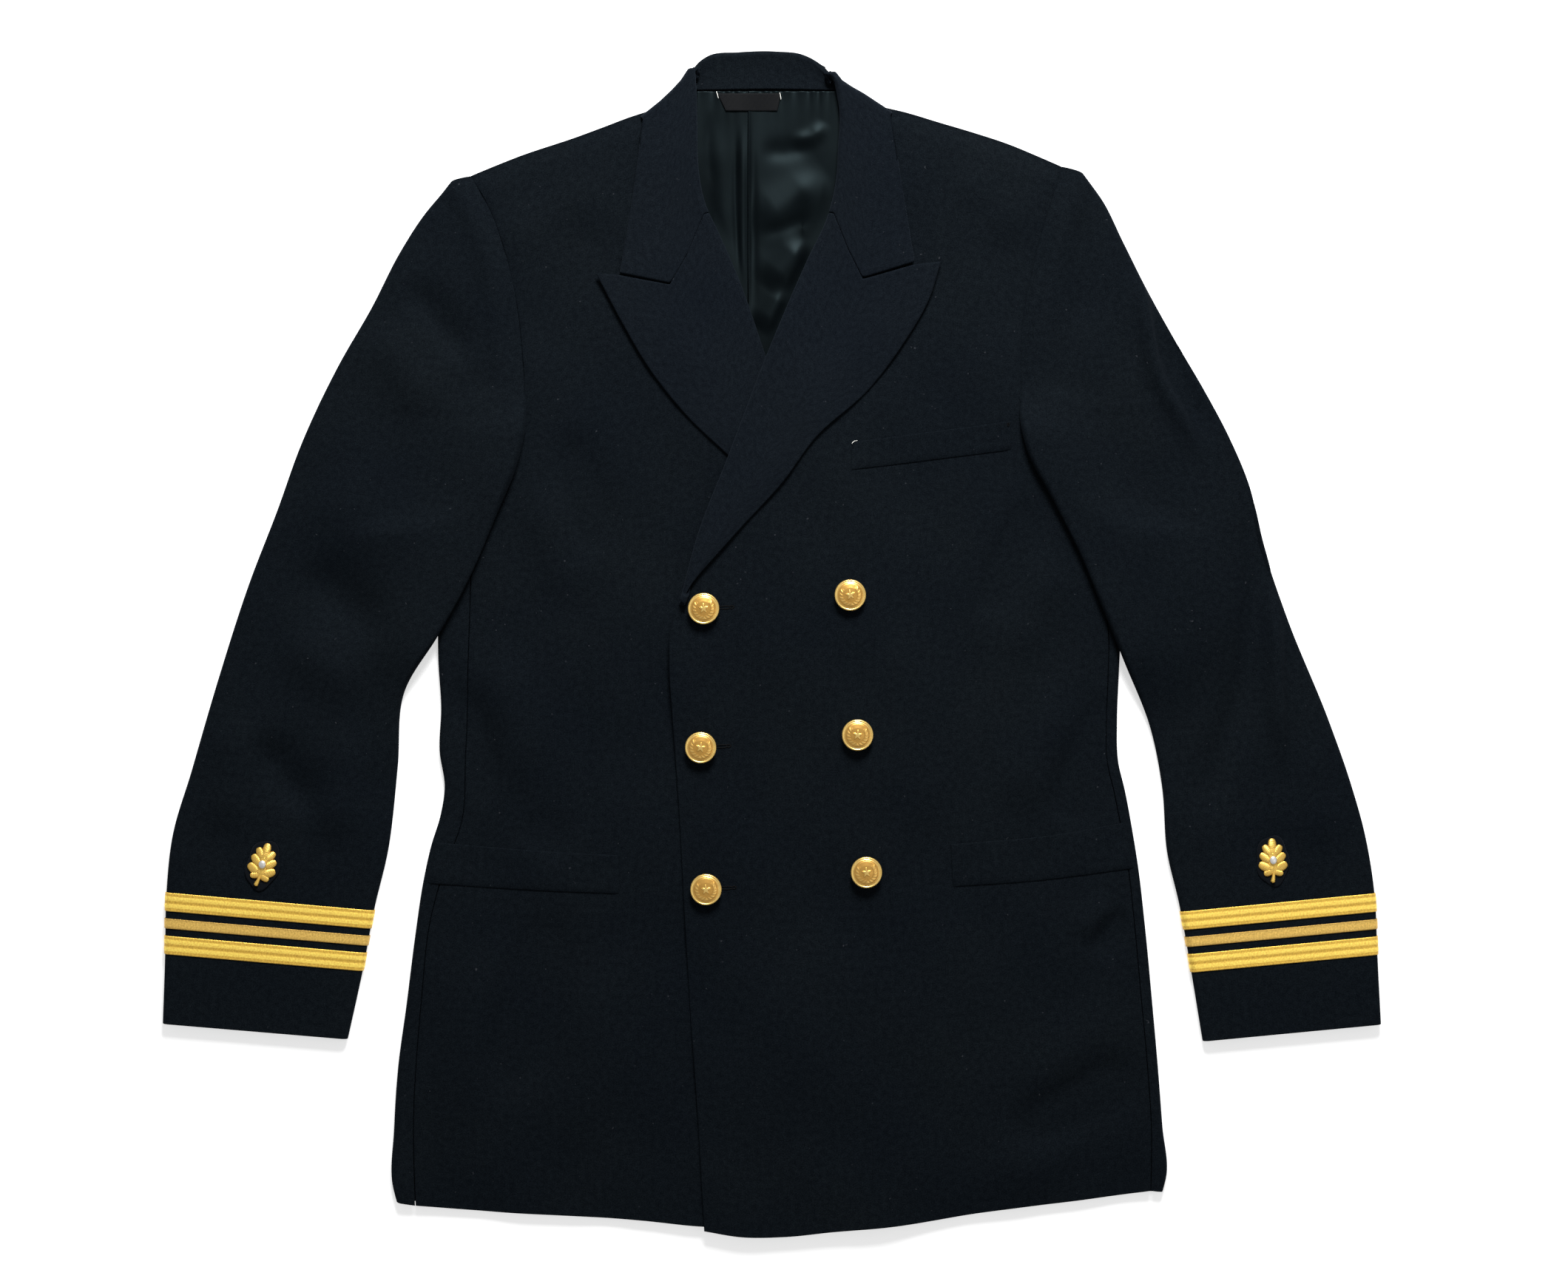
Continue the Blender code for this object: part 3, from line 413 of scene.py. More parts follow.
# %% [markdown]
# ## Navy serge
# The outer cloth is a wool serge: fine diagonal ribs of twill, hardly a millimetre apart, over
# a yarn that is never quite one colour. A wave texture on the cut's own map makes the ribs, so
# they follow the grain of each panel. Noise makes the yarn, broad clouds the wear, and a
# little sheen the nap that catches the light along every fold.

# %% The serge
def add_node(tree, kind, values=(), **settings):
    """A node with its settings, and with the named sockets filled in."""
    made = tree.nodes.new(kind)
    for key, value in settings.items():
        setattr(made, key, value)
    for key, value in dict(values).items():
        made.inputs[key].default_value = value
    return made


def plain(name, colour, **sockets):
    """A principled material, its sockets set one by one."""
    made = bpy.data.materials.new(name)
    made.use_nodes = True
    shader = made.node_tree.nodes["Principled BSDF"]
    shader.inputs["Base Color"].default_value = (*colour, 1.0)
    for key, value in sockets.items():
        socket = shader.inputs[key.replace("_", " ").title().replace("Ior", "IOR")]
        socket.default_value = value
    return made, made.node_tree, shader


def ramp(tree, source, *stops):
    """A colour ramp over a value, from (place, colour) stops."""
    made = add_node(tree, "ShaderNodeValToRGB")
    band = made.color_ramp
    while len(band.elements) < len(stops):
        band.elements.new(0.5)
    for element, (place, colour) in zip(band.elements, stops):
        element.position, element.color = place, (*colour, 1.0)
    tree.links.new(source, made.inputs[0])
    return made.outputs["Color"]


def blend_colours(tree, kind, share, low, high):
    """Two colours or values blended; share is a number or another node's output."""
    made = add_node(tree, "ShaderNodeMix", data_type="RGBA", blend_type=kind)
    for key, value in (("Factor", share), (6, low), (7, high)):
        if isinstance(value, bpy.types.NodeSocket):
            tree.links.new(value, made.inputs[key])
        else:
            made.inputs[key].default_value = value
    return made.outputs[2]


def texture(tree, kind, source="Object", pull=None, **sockets):
    """A texture node that reads the map source, which pull may stretch or turn first."""
    place = add_node(tree, "ShaderNodeTexCoord").outputs[source]
    if pull:
        mapping = add_node(tree, "ShaderNodeMapping", pull)
        tree.links.new(place, mapping.inputs[0])
        place = mapping.outputs[0]
    made = add_node(tree, "ShaderNodeTex" + kind,
                    {key.replace("_", " ").title(): value for key, value in sockets.items()})
    tree.links.new(place, made.inputs["Vector"])
    return made


def bumped(tree, shader, height, strength, distance):
    """Tilts the finish's normals by a height, up to distance in metres."""
    made = add_node(tree, "ShaderNodeBump", {"Strength": strength, "Distance": distance})
    tree.links.new(height, made.inputs["Height"])
    tree.links.new(made.outputs[0], shader.inputs["Normal"])


WAVE_TURNS = 2 * math.pi / 20       # a wave texture turns once every WAVE_TURNS / scale
TWILL_ANGLE = math.radians(-58)


def serge(name, dark, light, rib=1.1, sheen=0.02):
    """Wool twill, its ribs rib millimetres apart."""
    made, tree, shader = plain(name, dark, roughness=0.8, specular_ior_level=0.01,
                               sheen_weight=sheen, sheen_roughness=0.5,
                               sheen_tint=(0.30, 0.38, 0.50, 1.0))
    twill = texture(tree, "Wave", "UV", {"Rotation": (0, 0, TWILL_ANGLE)}, distortion=1.6,
                    scale=WAVE_TURNS / (rib * MM), detail=2.0, detail_scale=1.4)
    yarn = texture(tree, "Noise", "UV", scale=1100.0, detail=3.0)
    slub = texture(tree, "Noise", "UV", scale=260.0, detail=2.0)
    cloud = texture(tree, "Noise", scale=9.0, detail=4.0)
    lint = texture(tree, "Noise", scale=330.0, detail=1.0)
    base = ramp(tree, yarn.outputs[0], (0.3, dark), (0.72, light))
    slubs = ramp(tree, slub.outputs[0], (0.3, (0.74, 0.75, 0.78)), (0.7, (1.16, 1.16, 1.15)))
    clouds = ramp(tree, cloud.outputs[0], (0.3, (0.86, 0.88, 0.93)), (0.7, (1.1, 1.08, 1.04)))
    specks = ramp(tree, lint.outputs[0], (0.775, (0, 0, 0)), (0.83, (1, 1, 1)))
    base = blend_colours(tree, "MULTIPLY", 1.0, base, slubs)
    base = blend_colours(tree, "MULTIPLY", 1.0, base, clouds)
    base = blend_colours(tree, "MIX", specks, base, (0.020, 0.022, 0.026, 1.0))
    tree.links.new(base, shader.inputs["Base Color"])
    height = blend_colours(tree, "MIX", 0.55, twill.outputs["Color"], yarn.outputs["Color"])
    bumped(tree, shader, height, 0.55, 0.00012)
    return made


body_serge = serge("navy_serge", (0.0019, 0.0029, 0.0040), (0.0056, 0.0078, 0.0102))
facing_serge = serge("navy_serge_facing", (0.0023, 0.0034, 0.0049), (0.0060, 0.0083, 0.0113),
                     sheen=0.05)
print("serge ribs every 1.1 mm")

# %% [markdown]
# ## Folds put in one by one
# A jacket that has been worn and laid down keeps shallow folds: long troughs where the body
# bends, a break at the elbow, a lift beside each dart. A cloth simulation would invent its
# own, so each one is drawn here as a line in plan, with a width, a height and a lean.

# %% Fold lines
BODY_FOLDS = {
    "right": [
        ([(-149, 160), (-140, 105), (-126, 50)], 15, -1.5, 0.3),
        ([(-168, 120), (-158, 70), (-142, 20)], 17, 1.2),
        ([(-200, 10), (-185, -50), (-176, -120)], 20, 1.3),
        ([(-228, -20), (-212, -60), (-206, -118)], 12, -1.3, 0.2),
        ([(-178, -120), (-160, -136), (-140, -141)], 13, -1.2),
        ([(-160, -184), (-176, -250), (-204, -335)], 21, -2.0, 0.2),
        ([(-196, -200), (-214, -270), (-232, -350)], 22, 1.6),
        ([(-118, -200), (-128, -280), (-140, -370)], 26, 1.3),
        ([(-90, -60), (-92, -140), (-88, -230)], 24, 0.9),
        ([(-100, 300), (-150, 250), (-165, 190)], 22, -0.9),
        ([(-120, 330), (-165, 300), (-190, 270)], 15, 0.8)],
    "left": [
        ([(184, 110), (170, 72), (146, 12)], 12, -1.6, 0.3),
        ([(200, 70), (186, 30), (168, -20)], 16, 1.3),
        ([(241, -30), (222, -84), (196, -133)], 17, -2.0, 0.2),
        ([(206, -30), (190, -80), (172, -126)], 17, 1.2),
        ([(249, -186), (238, -204), (224, -220)], 7, -1.8, 0.3),
        ([(240, -178), (226, -194), (210, -206)], 9, 1.0),
        ([(266, -290), (220, -322), (160, -357)], 19, -2.0, 0.1),
        ([(262, -250), (212, -290), (150, -330)], 24, 1.2),
        ([(240, -330), (190, -366), (130, -386)], 18, 0.9),
        ([(96, 20), (104, -60), (112, -150)], 22, 0.9),
        ([(20, -190), (28, -270), (20, -360)], 40, 0.8),
        ([(150, 300), (168, 250), (166, 200)], 16, -1.0),
        ([(120, 340), (160, 310), (180, 280)], 16, 0.8)],
}
SLEEVE_FOLDS = {
    "right": [
        ([(-262, 262), (-240, 230), (-212, 196)], 13, -2.0, 0.3),
        ([(-282, 232), (-262, 196), (-236, 160)], 18, 1.6),
        ([(-330, 120), (-300, 90), (-262, 60)], 24, 1.3),
        ([(-340, 60), (-306, 30), (-268, 6)], 18, -1.8, 0.2),
        ([(-352, 10), (-320, -12), (-284, -34)], 20, 1.6),
        ([(-366, -60), (-346, -98), (-318, -122)], 15, -2.0, 0.3),
        ([(-392, -40), (-384, -90), (-392, -140)], 17, 1.5),
        ([(-300, -50), (-306, -100), (-312, -150)], 16, 1.3)],
    "left": [
        ([(257, 278), (263, 246), (274, 190), (295, 153), (306, 122)], 6, 2.5, -0.45),
        ([(274, 236), (290, 186), (312, 140)], 9, -1.3),
        ([(290, 130), (302, 70), (301, 5), (290, -50)], 20, 1.4),
        ([(324, 140), (341, 80), (341, 14), (332, -36), (316, -90), (300, -142)], 12, -2.0),
        ([(351, 58), (357, 0), (358, -44), (364, -100)], 6.5, 2.3, -0.3),
        ([(380, -60), (388, -110), (384, -150)], 14, 0.7),
        ([(212, 318), (222, 270), (212, 214)], 12, -0.9, 0.2),
        ([(226, 200), (238, 130), (258, 70)], 15, -0.6)],
}


def fold(x, y, path, width, height, lean=0.0):
    """A soft fold along a path: a bell curve of the distance, fading at both ends.

    With a lean the bell is wider on the path's left side than on its right.
    """
    p = line(path, 12)
    step = np.diff(p, axis=0)
    from_start = np.stack([x, y], axis=-1)[..., None, :] - p[:-1]
    t = np.clip((from_start * step).sum(-1) / (step * step).sum(-1), 0, 1)
    gap = from_start - t[..., None] * step
    away = np.linalg.norm(gap, axis=-1)
    near = away.argmin(-1)[..., None]
    t, away, cross = (np.take_along_axis(k, near, -1)[..., 0] for k in
                      (t, away, step[:, 0] * gap[..., 1] - step[:, 1] * gap[..., 0]))
    share = (near[..., 0] + t) / len(step)
    ends = smooth(share, 0, 0.35) * (1 - smooth(share, 0.65, 1))
    return height * ends * np.exp(-(away / (width * (1 + lean * np.sign(cross))))**2)


FOLD_DEPTH = 3.3                    # how deep all the drawn folds are laid
DEEPEST = 2.2                       # a trough of a front ends on the back beneath it
WAVE_DEPTH = 1.6


def waves(x, y, shift=0.0):
    """Broad unevenness of laid cloth: four long sine waves that cross each other."""
    return (0.34 * np.sin(x / 19 + y / 47 + shift)
            + 0.30 * np.sin(y / 23 - x / 61 + 2 * shift)
            + 0.22 * np.sin((x + y) / 13.5 + 3 * shift)
            + 0.10 * np.sin((x - 0.7 * y) / 7.1 + shift))


def handling(x, y, folds, shift=0.0):
    """All the folds of one part, with the broad unevenness."""
    return WAVE_DEPTH * waves(x, y, shift) + FOLD_DEPTH * sum(fold(x, y, *one) for one in folds)


print("folds drawn:", sum(len(v) for v in (*BODY_FOLDS.values(), *SLEEVE_FOLDS.values())))

# %% [markdown]
# ## Heights of the body
# The two fronts lie on the back, and the wearer's left front climbs over the edge of the
# right one. Near the neck they rise over the collar. The chest is a little fuller, and each
# dart is a fine trough that takes the waist in.

# %% Height formulas
def neck_raise(x, y):
    """The rise over the collar's fall, near the neck."""
    return (COLLAR + 0.6) * smooth(y, 285, 352) * (1 - smooth(np.abs(x + 5), 120, 195))


def body_top(x, y):
    """A front that lies on the back, with its chest."""
    chest = np.exp(-((np.abs(x) - 115) / 80)**2 - ((y - 190) / 130)**2)
    return BODY + 0.6 * chest + neck_raise(x, y)


def front_top(side, x, y):
    """Face of a front: the left one climbs by OVER_LOW to OVER_HIGH past the right's edge."""
    if side == "right":
        return body_top(x, y)
    slope = (UNDER_BREAK[0] - CROSS[0]) / (CROSS[1] - UNDER_BREAK[1])
    under_x = np.minimum(CROSS[0] + slope * (CROSS[1] - y), UNDER_EDGE_X)
    climb = OVER_LOW + (OVER_HIGH - OVER_LOW) * smooth(y, -130, 5)
    return body_top(x, y) + climb * (1 - smooth(x - under_x, 10, 72))


def front_relief(side, x, y):
    """Folds and dart of a front, calm at the edge of the body and near the front edge."""
    calm = 1 - smooth(np.abs(x), 236, 262) * smooth(y, -400, -120)
    dart = DARTS[side]
    seam = fold(x, y, dart, 1.9, -1.0) + fold(x, y, dart, 11.0, -0.9)
    low = -1.0 * (1 - smooth(y, -420, -372))
    laid = handling(x, y, BODY_FOLDS[side], 0.7 if side == "left" else 0.0)
    return np.maximum(laid * calm + seam + low, -DEEPEST)


def front_face(side, x, y):
    """Outer face of a front with everything on it."""
    return front_top(side, x, y) + front_relief(side, x, y)


def rise(y):
    """How far the roll of the lapel and collar stands up, more towards the neck."""
    return 2.2 * smooth(y, 205, 330)


print("over the right front, the left one lies",
      round(float(front_top("left", 0.0, -100.0) - BODY), 2), "mm higher")

# %% [markdown]
# ## The fronts
# Each front runs from the hem to the shoulder and from the front edge to the side seam. Its
# inner line follows the roll of the lapel and stops just short of it, under the lapel. At
# the armhole the seam pulls the cloth down, and at the shoulder it bends down to the back.

# %% Fronts
def plan_way(points, towards):
    """Unit vectors across a plan line, to its right for 1 and to its left for -1."""
    way = np.gradient(points, axis=0)
    way /= np.linalg.norm(way, axis=1)[:, None]
    return towards * np.stack([way[:, 1], -way[:, 0]], axis=1)


def body_edge(side, low):
    """The line from the hem up the side seam, round the armhole to the shoulder tip."""
    under = line([tuple(low[-1])] + UNDERARM[side][1:], 60)
    return np.concatenate([low, under[1:], line(ARMHOLE[side], 80)[1:]])


def front_plan(side, rows, cols):
    """Plan grid of a front between its edge, side seam, hem and shoulder."""
    way = inward(side)
    roll = line(ROLL[side], 300)
    inset = (FRONT + LAY + LAPEL + rise(roll[:, 1:])) / 2 + ROLL_CLEAR
    roll = roll - inset * plan_way(roll, way)
    edge = line(FRONT_EDGE[side], 300)
    v, u = shares(810, rows), shares(310, cols)
    y = edge[0, 1] + v * (389.5 - edge[0, 1])
    turn_in = smooth(y, 29, 37)
    x = (np.interp(y, edge[:, 1], edge[:, 0]) * (1 - turn_in)
         + np.interp(y, roll[:, 1], roll[:, 0]) * turn_in)
    inner = np.stack([x, y], axis=1)
    outer = body_edge(side, line(SIDE_SEAM[side], 200) + (way * 0.1, 0))
    outer = at_height(outer, outer[0, 1] + v * (outer[-1, 1] - outer[0, 1]))
    bottom = pinned(along(line(HEM[side][::-1], 300), u), inner[0], outer[0])
    top = pinned(along(line(SHOULDER[side], 300), u), inner[-1], outer[-1])
    return patch(bottom, top, inner, outer, u, v)


def seam_dip(distance, depth, width):
    """The valley that a seam pulls into the cloth beside it."""
    return depth * np.exp(-distance / width)


def pucker(travel, distance, size):
    """The fine ripple that the stitches leave along a seam."""
    return size * np.sin(travel / 2.3 + 1.7 * np.sin(travel / 19)) * np.exp(-distance / 3.5)


def front(side, rows, cols):
    """A front: its plan raised to its face, less what its seams and its hem pull down."""
    plan = front_plan(side, rows, cols)
    x, y = plan[..., 0], plan[..., 1]
    flat = raised(plan, 0.0)
    up, across = column_travel(flat), row_travel(flat)
    from_top, from_outer = up[-1:] - up, across[:, -1:] - across
    z = front_face(side, x, y)
    z -= (HOLLOW - SEAM) * (1 - smooth(from_top, 0, 13))
    z -= seam_dip(from_outer, 0.5, 2.0) + seam_dip(from_outer, 1.6, 11.0) * smooth(y, 150, 240)
    z += pucker(up, from_outer, 0.07)
    z -= seam_dip(across, 0.5, 5.0) * (1 - smooth(y, -20, 20))
    made = cloth(f"{side}_front", raised(plan, z), FRONT, body_serge, nose=SEWN)
    return lay(made, "wool", f"front_{side}")


right_front = front("right", 160, 74)
left_front = front("left", 164, 104)
print("points:", len(right_front.data.vertices), len(left_front.data.vertices))

# %% [markdown]
# ## Side bodies and back
# The side body starts at the side seam, turns round the side of the jacket in a half circle
# and comes to the back seam underneath. The two halves of the back lie on the table. They
# are the flat underside, so their folds only lift them, and never push through the table.

# %% Side bodies
def side_body(side, rows=150):
    """A side body: flat under the jacket, a half circle round the fold, flat to the seam."""
    way = inward(side)
    radius = BODY / 2
    v = shares(490, rows)
    turn_line, seam = along(line(FOLD[side], 300), v), along(line(SIDE_SEAM[side], 300), v)
    back = along(line(FOLD[side], 300), v) + (way * BACK_SEAM_INSET, 0)
    back += smooth(v, 0.9, 1.0)[:, None] * (np.array(BACK_TOP[side]) - back[-1])
    centre = turn_line[:, 0] + way * radius
    angle = np.linspace(0, math.pi, 15)[None]
    under = shares(BACK_SEAM_INSET, 10, end=False)[None, :-1]
    over = shares(22, 9, start=False)[None, 1:]
    x = np.concatenate([back[:, :1] + under * (centre[:, None] - back[:, :1]),
                        centre[:, None] - way * radius * np.sin(angle),
                        centre[:, None] + over * (seam[:, :1] - centre[:, None])], axis=1)
    z = np.concatenate([0 * under, radius * (1 - np.cos(angle)), BODY + 0 * over], axis=1)
    z = np.repeat(z, len(v), axis=0)
    travel = row_travel(np.stack([x, 0 * x, z], axis=-1))
    fold_at = travel[:, under.shape[1] + 7][:, None]
    y = np.where(travel < fold_at,
                 back[:, 1:] + (turn_line[:, 1:] - back[:, 1:]) * travel / fold_at,
                 turn_line[:, 1:] + (seam[:, 1:] - turn_line[:, 1:])
                 * (travel - fold_at) / (travel[:, -1:] - fold_at))
    level = z / BODY
    z = z + front_relief(side, x, y) * smooth(level, 0.75, 1.0)
    z -= seam_dip(travel[:, -1:] - travel, 0.5, 2.0) * level
    z += pucker(y, travel[:, -1:] - travel, 0.07)
    made = cloth(f"{side}_side", np.stack([x, y, z], axis=-1), BACK, body_serge, look=(0.5, 1.0),
                 nose=SEWN)
    return lay(made, "wool", f"side_{side}")


right_side, left_side = side_body("right"), side_body("left")

# %% Back
BACK_FOLDS = {
    "right": [([(-60, 300), (-100, 220), (-110, 120)], 26, 1.6),
              ([(-40, 40), (-90, 10), (-160, 0)], 16, 1.5),
              ([(-50, -60), (-70, -200), (-80, -350)], 30, 1.7),
              ([(-150, -80), (-165, -200), (-190, -330)], 24, 1.3)],
    "left": [([(50, 300), (92, 230), (106, 110)], 24, 1.6),
             ([(30, 36), (84, 4), (170, 6)], 17, 1.5),
             ([(46, -70), (60, -190), (66, -350)], 28, 1.7),
             ([(146, -70), (160, -210), (196, -330)], 25, 1.3)]}


def back(side, rows=120, cols=44):
    """Half of the back: flat on the table, lifted only by its folds and at the neck."""
    way = inward(side)
    v, u = shares(800, rows), shares(235, cols)
    low = line(FOLD[side], 200) + (way * BACK_SEAM_INSET, 0)
    low += smooth(np.linspace(0, 1, 200), 0.9, 1.0)[:, None] * (np.array(BACK_TOP[side]) - low[-1])
    outer = body_edge(side, low + (way * SEAM, 0))
    outer = at_height(outer, outer[0, 1] + v * (outer[-1, 1] - outer[0, 1]))
    inner = np.stack([np.full(len(v), CENTRE_BACK - way * 0.1),
                      BACK_LOW + v * (BACK_HIGH - BACK_LOW)], axis=1)
    neck = (SHOULDER[side][0][0], 392.0)
    shoulder = np.concatenate([[inner[-1], neck], line(SHOULDER[side], 100)[4:]])
    bottom = pinned(along(line(BACK_HEM[side][::-1], 200), u), inner[0], outer[0])
    top = pinned(along(shoulder, u), inner[-1], outer[-1])
    plan = patch(bottom, top, inner, outer, u, v)
    x, y = plan[..., 0], plan[..., 1]
    flat = raised(plan, 0.0)
    across = row_travel(flat)
    calm = smooth(np.minimum(across, across[:, -1:] - across), 0, 14)
    z = neck_raise(x, y) + calm * sum(fold(x, y, *one) for one in BACK_FOLDS[side])
    made = cloth(f"{side}_back", raised(plan, z), BACK, body_serge, facing=-1)
    return lay(made, "wool", f"back_{side}")


right_back, left_back = back("right"), back("left")
print("back points:", len(right_back.data.vertices), len(left_back.data.vertices))

# %% [markdown]
# ## Lapels
# A lapel is the front's facing turned back on itself. It lies on the front, swells a little
# in the middle, and at the roll line it bends round in a half circle, so that its edge is
# soft and never creased. The half circle grows towards the neck.

# %% Lapels
def rolled(grid, out, up, radius, sweep=math.pi, steps=14):
    """The grid with a bend added after its last column.

    The bend's centre is a radius below the last column; it swings from up, through out,
    towards the opposite of up, as far as sweep: one angle, or one for each row.
    """
    sweep = np.broadcast_to(sweep, len(grid))[:, None, None]
    angle = sweep * np.linspace(0, 1, steps)[None, 1:, None]
    out, up, radius = out[:, None], up[:, None], radius[:, None, None]
    centre = grid[:, -1:] - up * radius
    return np.concatenate([grid, centre + radius * (out * np.sin(angle) + up * np.cos(angle))],
                          axis=1)


def roll_start(side, y, thickness):
    """Where the fold starts at the heights y, its outward directions and its radii."""
    fine = line(ROLL[side], 300)
    way = plan_way(fine, inward(side))
    way = np.stack([np.interp(y, fine[:, 1], way[:, k]) for k in (0, 1)], axis=1)
    radius = (FRONT + LAY + thickness + rise(y)) / 2
    return (at_height(fine, y) - way * radius[:, None],
            np.concatenate([way, np.zeros((len(y), 1))], axis=1), radius)


LAPEL_FOLDS = {
    "right": [([(-96, 244), (-70, 214), (-44, 180)], 13, 0.8),
              ([(-60, 262), (-48, 232), (-34, 204)], 9, -0.6)],
    "left": [([(92, 250), (70, 214), (38, 172)], 14, 0.9),
             ([(52, 262), (40, 226), (22, 190)], 10, -0.6),
             ([(20, 150), (-6, 118), (-30, 90)], 9, 0.6)]}


def on_front(side, plan, u):
    """Face of what lies on a front: it swells in the middle and rises to its roll."""
    x, y = plan[..., 0], plan[..., 1]
    swell = 0.9 * np.sin(math.pi * u[None] ** 0.8) ** 1.5
    return (front_top(side, x, y) + 0.55 * waves(x, y, 1.9) + LAY + LAPEL + swell
            + rise(y) * u[None] ** 2)


def lapel(side, rows=120, cols=48):
    """A lapel: a patch between its edge, its seam to the collar and its roll, then the roll."""
    u, v = shares(90, cols, end=False), shares(250, rows)
    edge = along(line(LAPEL_EDGE[side], 300), v)
    low_y = edge[0, 1] - 3.0
    inner, out, radius = roll_start(side, low_y + v * (ROLL_GORGE[side][1] - low_y), LAPEL)
    gorge = along(np.array(GORGE[side], float) - (0, 0.15), u)
    bottom = edge[0] + u[:, None] * (inner[0] - edge[0])
    plan = patch(bottom, pinned(gorge, edge[-1], inner[-1]), edge, inner, u, v)
    x, y = plan[..., 0], plan[..., 1]
    grid = raised(plan, on_front(side, plan, u)
                  + sum(fold(x, y, *one) for one in LAPEL_FOLDS[side]))
    up_way = np.tile((0.0, 0.0, 1.0), (len(v), 1))
    made = cloth(f"{side}_lapel", rolled(grid, out, up_way, radius), LAPEL, facing_serge,
                 look=(0.5, 0.2))
    return lay(made, "wool", f"lapel_{side}")


right_lapel, left_lapel = lapel("right"), lapel("left")
print("lapel points:", len(right_lapel.data.vertices), len(left_lapel.data.vertices))

# %% [markdown]
# ## Collar
# The collar's fall is one strip from notch to notch. On each front it is a wing like the
# lapel's. At the shoulder it turns over the neck in a half circle and passes under the back,
# and its upper edge rolls up to the stand, which is the band that shows inside the neck.

# %% Collar
GORGE_LAP = 0.5                     # how far the collar is sewn over the lapel's end
TURN_FLAT = 0.5                     # the turn over the shoulder is half as wide as high


def wing(side, rows=64, cols=44):
    """The fall on one front: its grid, the outward directions and the radii of its roll."""
    u, v = shares(50, cols, end=False), shares(110, rows, end=False)
    edge = along(line(COLLAR_EDGE[side], 200), v)
    crease = along(np.array(COLLAR_TURN[side][::-1], float), u)
    run = (crease[-1] - crease[0]) / np.linalg.norm(crease[-1] - crease[0])
    facing = np.array([-run[1], run[0]]) * inward(side)
    crease = crease - facing * (on_front(side, crease[None], u)[0] * TURN_FLAT / 2)[:, None]
    edge = pinned(edge, edge[0], crease[0])
    inner, out, radius = roll_start(
        side, ROLL_GORGE[side][1] + 0.15 + v * (crease[-1, 1] - ROLL_GORGE[side][1]), COLLAR)
    gorge = along(np.array(GORGE[side][1:], float) + (0, 0.15), u)
    gorge[:, 0] += inward(side) * GORGE_LAP * smooth(u, 0.38, 0.46)     # from the notch on
    plan = patch(pinned(gorge, edge[0], inner[0]), pinned(crease, edge[-1], inner[-1]),
                 edge, inner, u, v)
    turned = smooth(v, 0.78, 1.0)[:, None]
    out = (1 - turned) * out + turned * np.append(run, 0.0)
    out /= np.linalg.norm(out, axis=1)[:, None]
    return raised(plan, on_front(side, plan, u)), out, radius, run, facing


def collar_end(side, steps=14):
    """A wing and its turn over the shoulder, as points, up and out ways and radii."""
    grid, out, radius, run, facing = wing(side)
    facing, run = np.append(facing, 0.0), np.append(run, 0.0)
    half = grid[-1][:, 2:] / 2
    axis = np.concatenate([grid[-1][:, :2], half], axis=1)
    angle = np.linspace(0, math.pi, steps)[:, None]
    level = np.array((0, 0, 1.0)) * np.cos(angle)
    bend = TURN_FLAT * facing * np.sin(angle) + level
    up = facing * np.sin(angle) + TURN_FLAT * level
    up /= np.linalg.norm(up, axis=1)[:, None]
    turn = axis[None] + bend[:, None] * half[None]
    return (np.concatenate([grid[:-1], turn]),
            np.concatenate([np.tile((0, 0, 1.0), (len(grid) - 1, 1)), up]),
            np.concatenate([out[:-1], np.tile(run, (steps, 1))]),
            np.concatenate([radius[:-1], np.full(steps, radius[-2])]))


def collar_back(first, last, count=56):
    """The strip behind the neck, between the last rows of both turns."""
    s = np.linspace(0, 1, count + 2)[1:-1]
    low = line([tuple(first[0, :2]), *COLLAR_BACK_EDGE, tuple(last[0, :2])], 200)
    top_line = [(x, y - STAND_TOP / 2) for x, y in COLLAR_TOP]
    top = line([tuple(first[-1, :2]), *top_line, tuple(last[-1, :2])], 200)
    low, high = along(low, s), along(top, s)
    share = row_travel(first[None])[0]
    plan = low[:, None] + (share / share[-1])[None, :, None] * (high - low)[:, None]
    way = plan_way(along(top, s), -1)
    return raised(plan, 0.0), np.concatenate([way, np.zeros((count, 1))], axis=1), s


def collar_fall():
    """The whole fall: wing, turn, strip behind the neck, turn and wing, with its roll."""
    r_points, r_up, r_out, r_radius = collar_end("right")
    l_points, l_up, l_out, l_radius = collar_end("left")
    middle, out, s = collar_back(r_points[-1], l_points[-1])
    near = smooth(np.minimum(s, 1 - s), 0, 0.12)
    radius = near * STAND_TOP / 2 + (1 - near) * r_radius[-1]
    ends_out = np.where(s[:, None] < 0.5, r_out[-1], l_out[-1])
    out = near[:, None] * out + (1 - near[:, None]) * ends_out
    out /= np.linalg.norm(out, axis=1)[:, None]
    down = np.tile((0, 0, -1.0), (len(s), 1))
    grid, up, out, radius, sweep = (np.concatenate([a, b, c[::-1]]) for a, b, c in (
        (r_points, middle, l_points), (r_up, down, l_up), (r_out, out, l_out),
        (r_radius, radius, l_radius),
        (np.full(len(r_up), math.pi), math.pi * (1 - near / 2), np.full(len(l_up), math.pi))))
    made = cloth("collar", rolled(grid, out, up, radius, sweep), COLLAR, facing_serge,
                 look=(0.05, 0.3))
    return lay(made, "wool", "collar_fall")


collar = collar_fall()


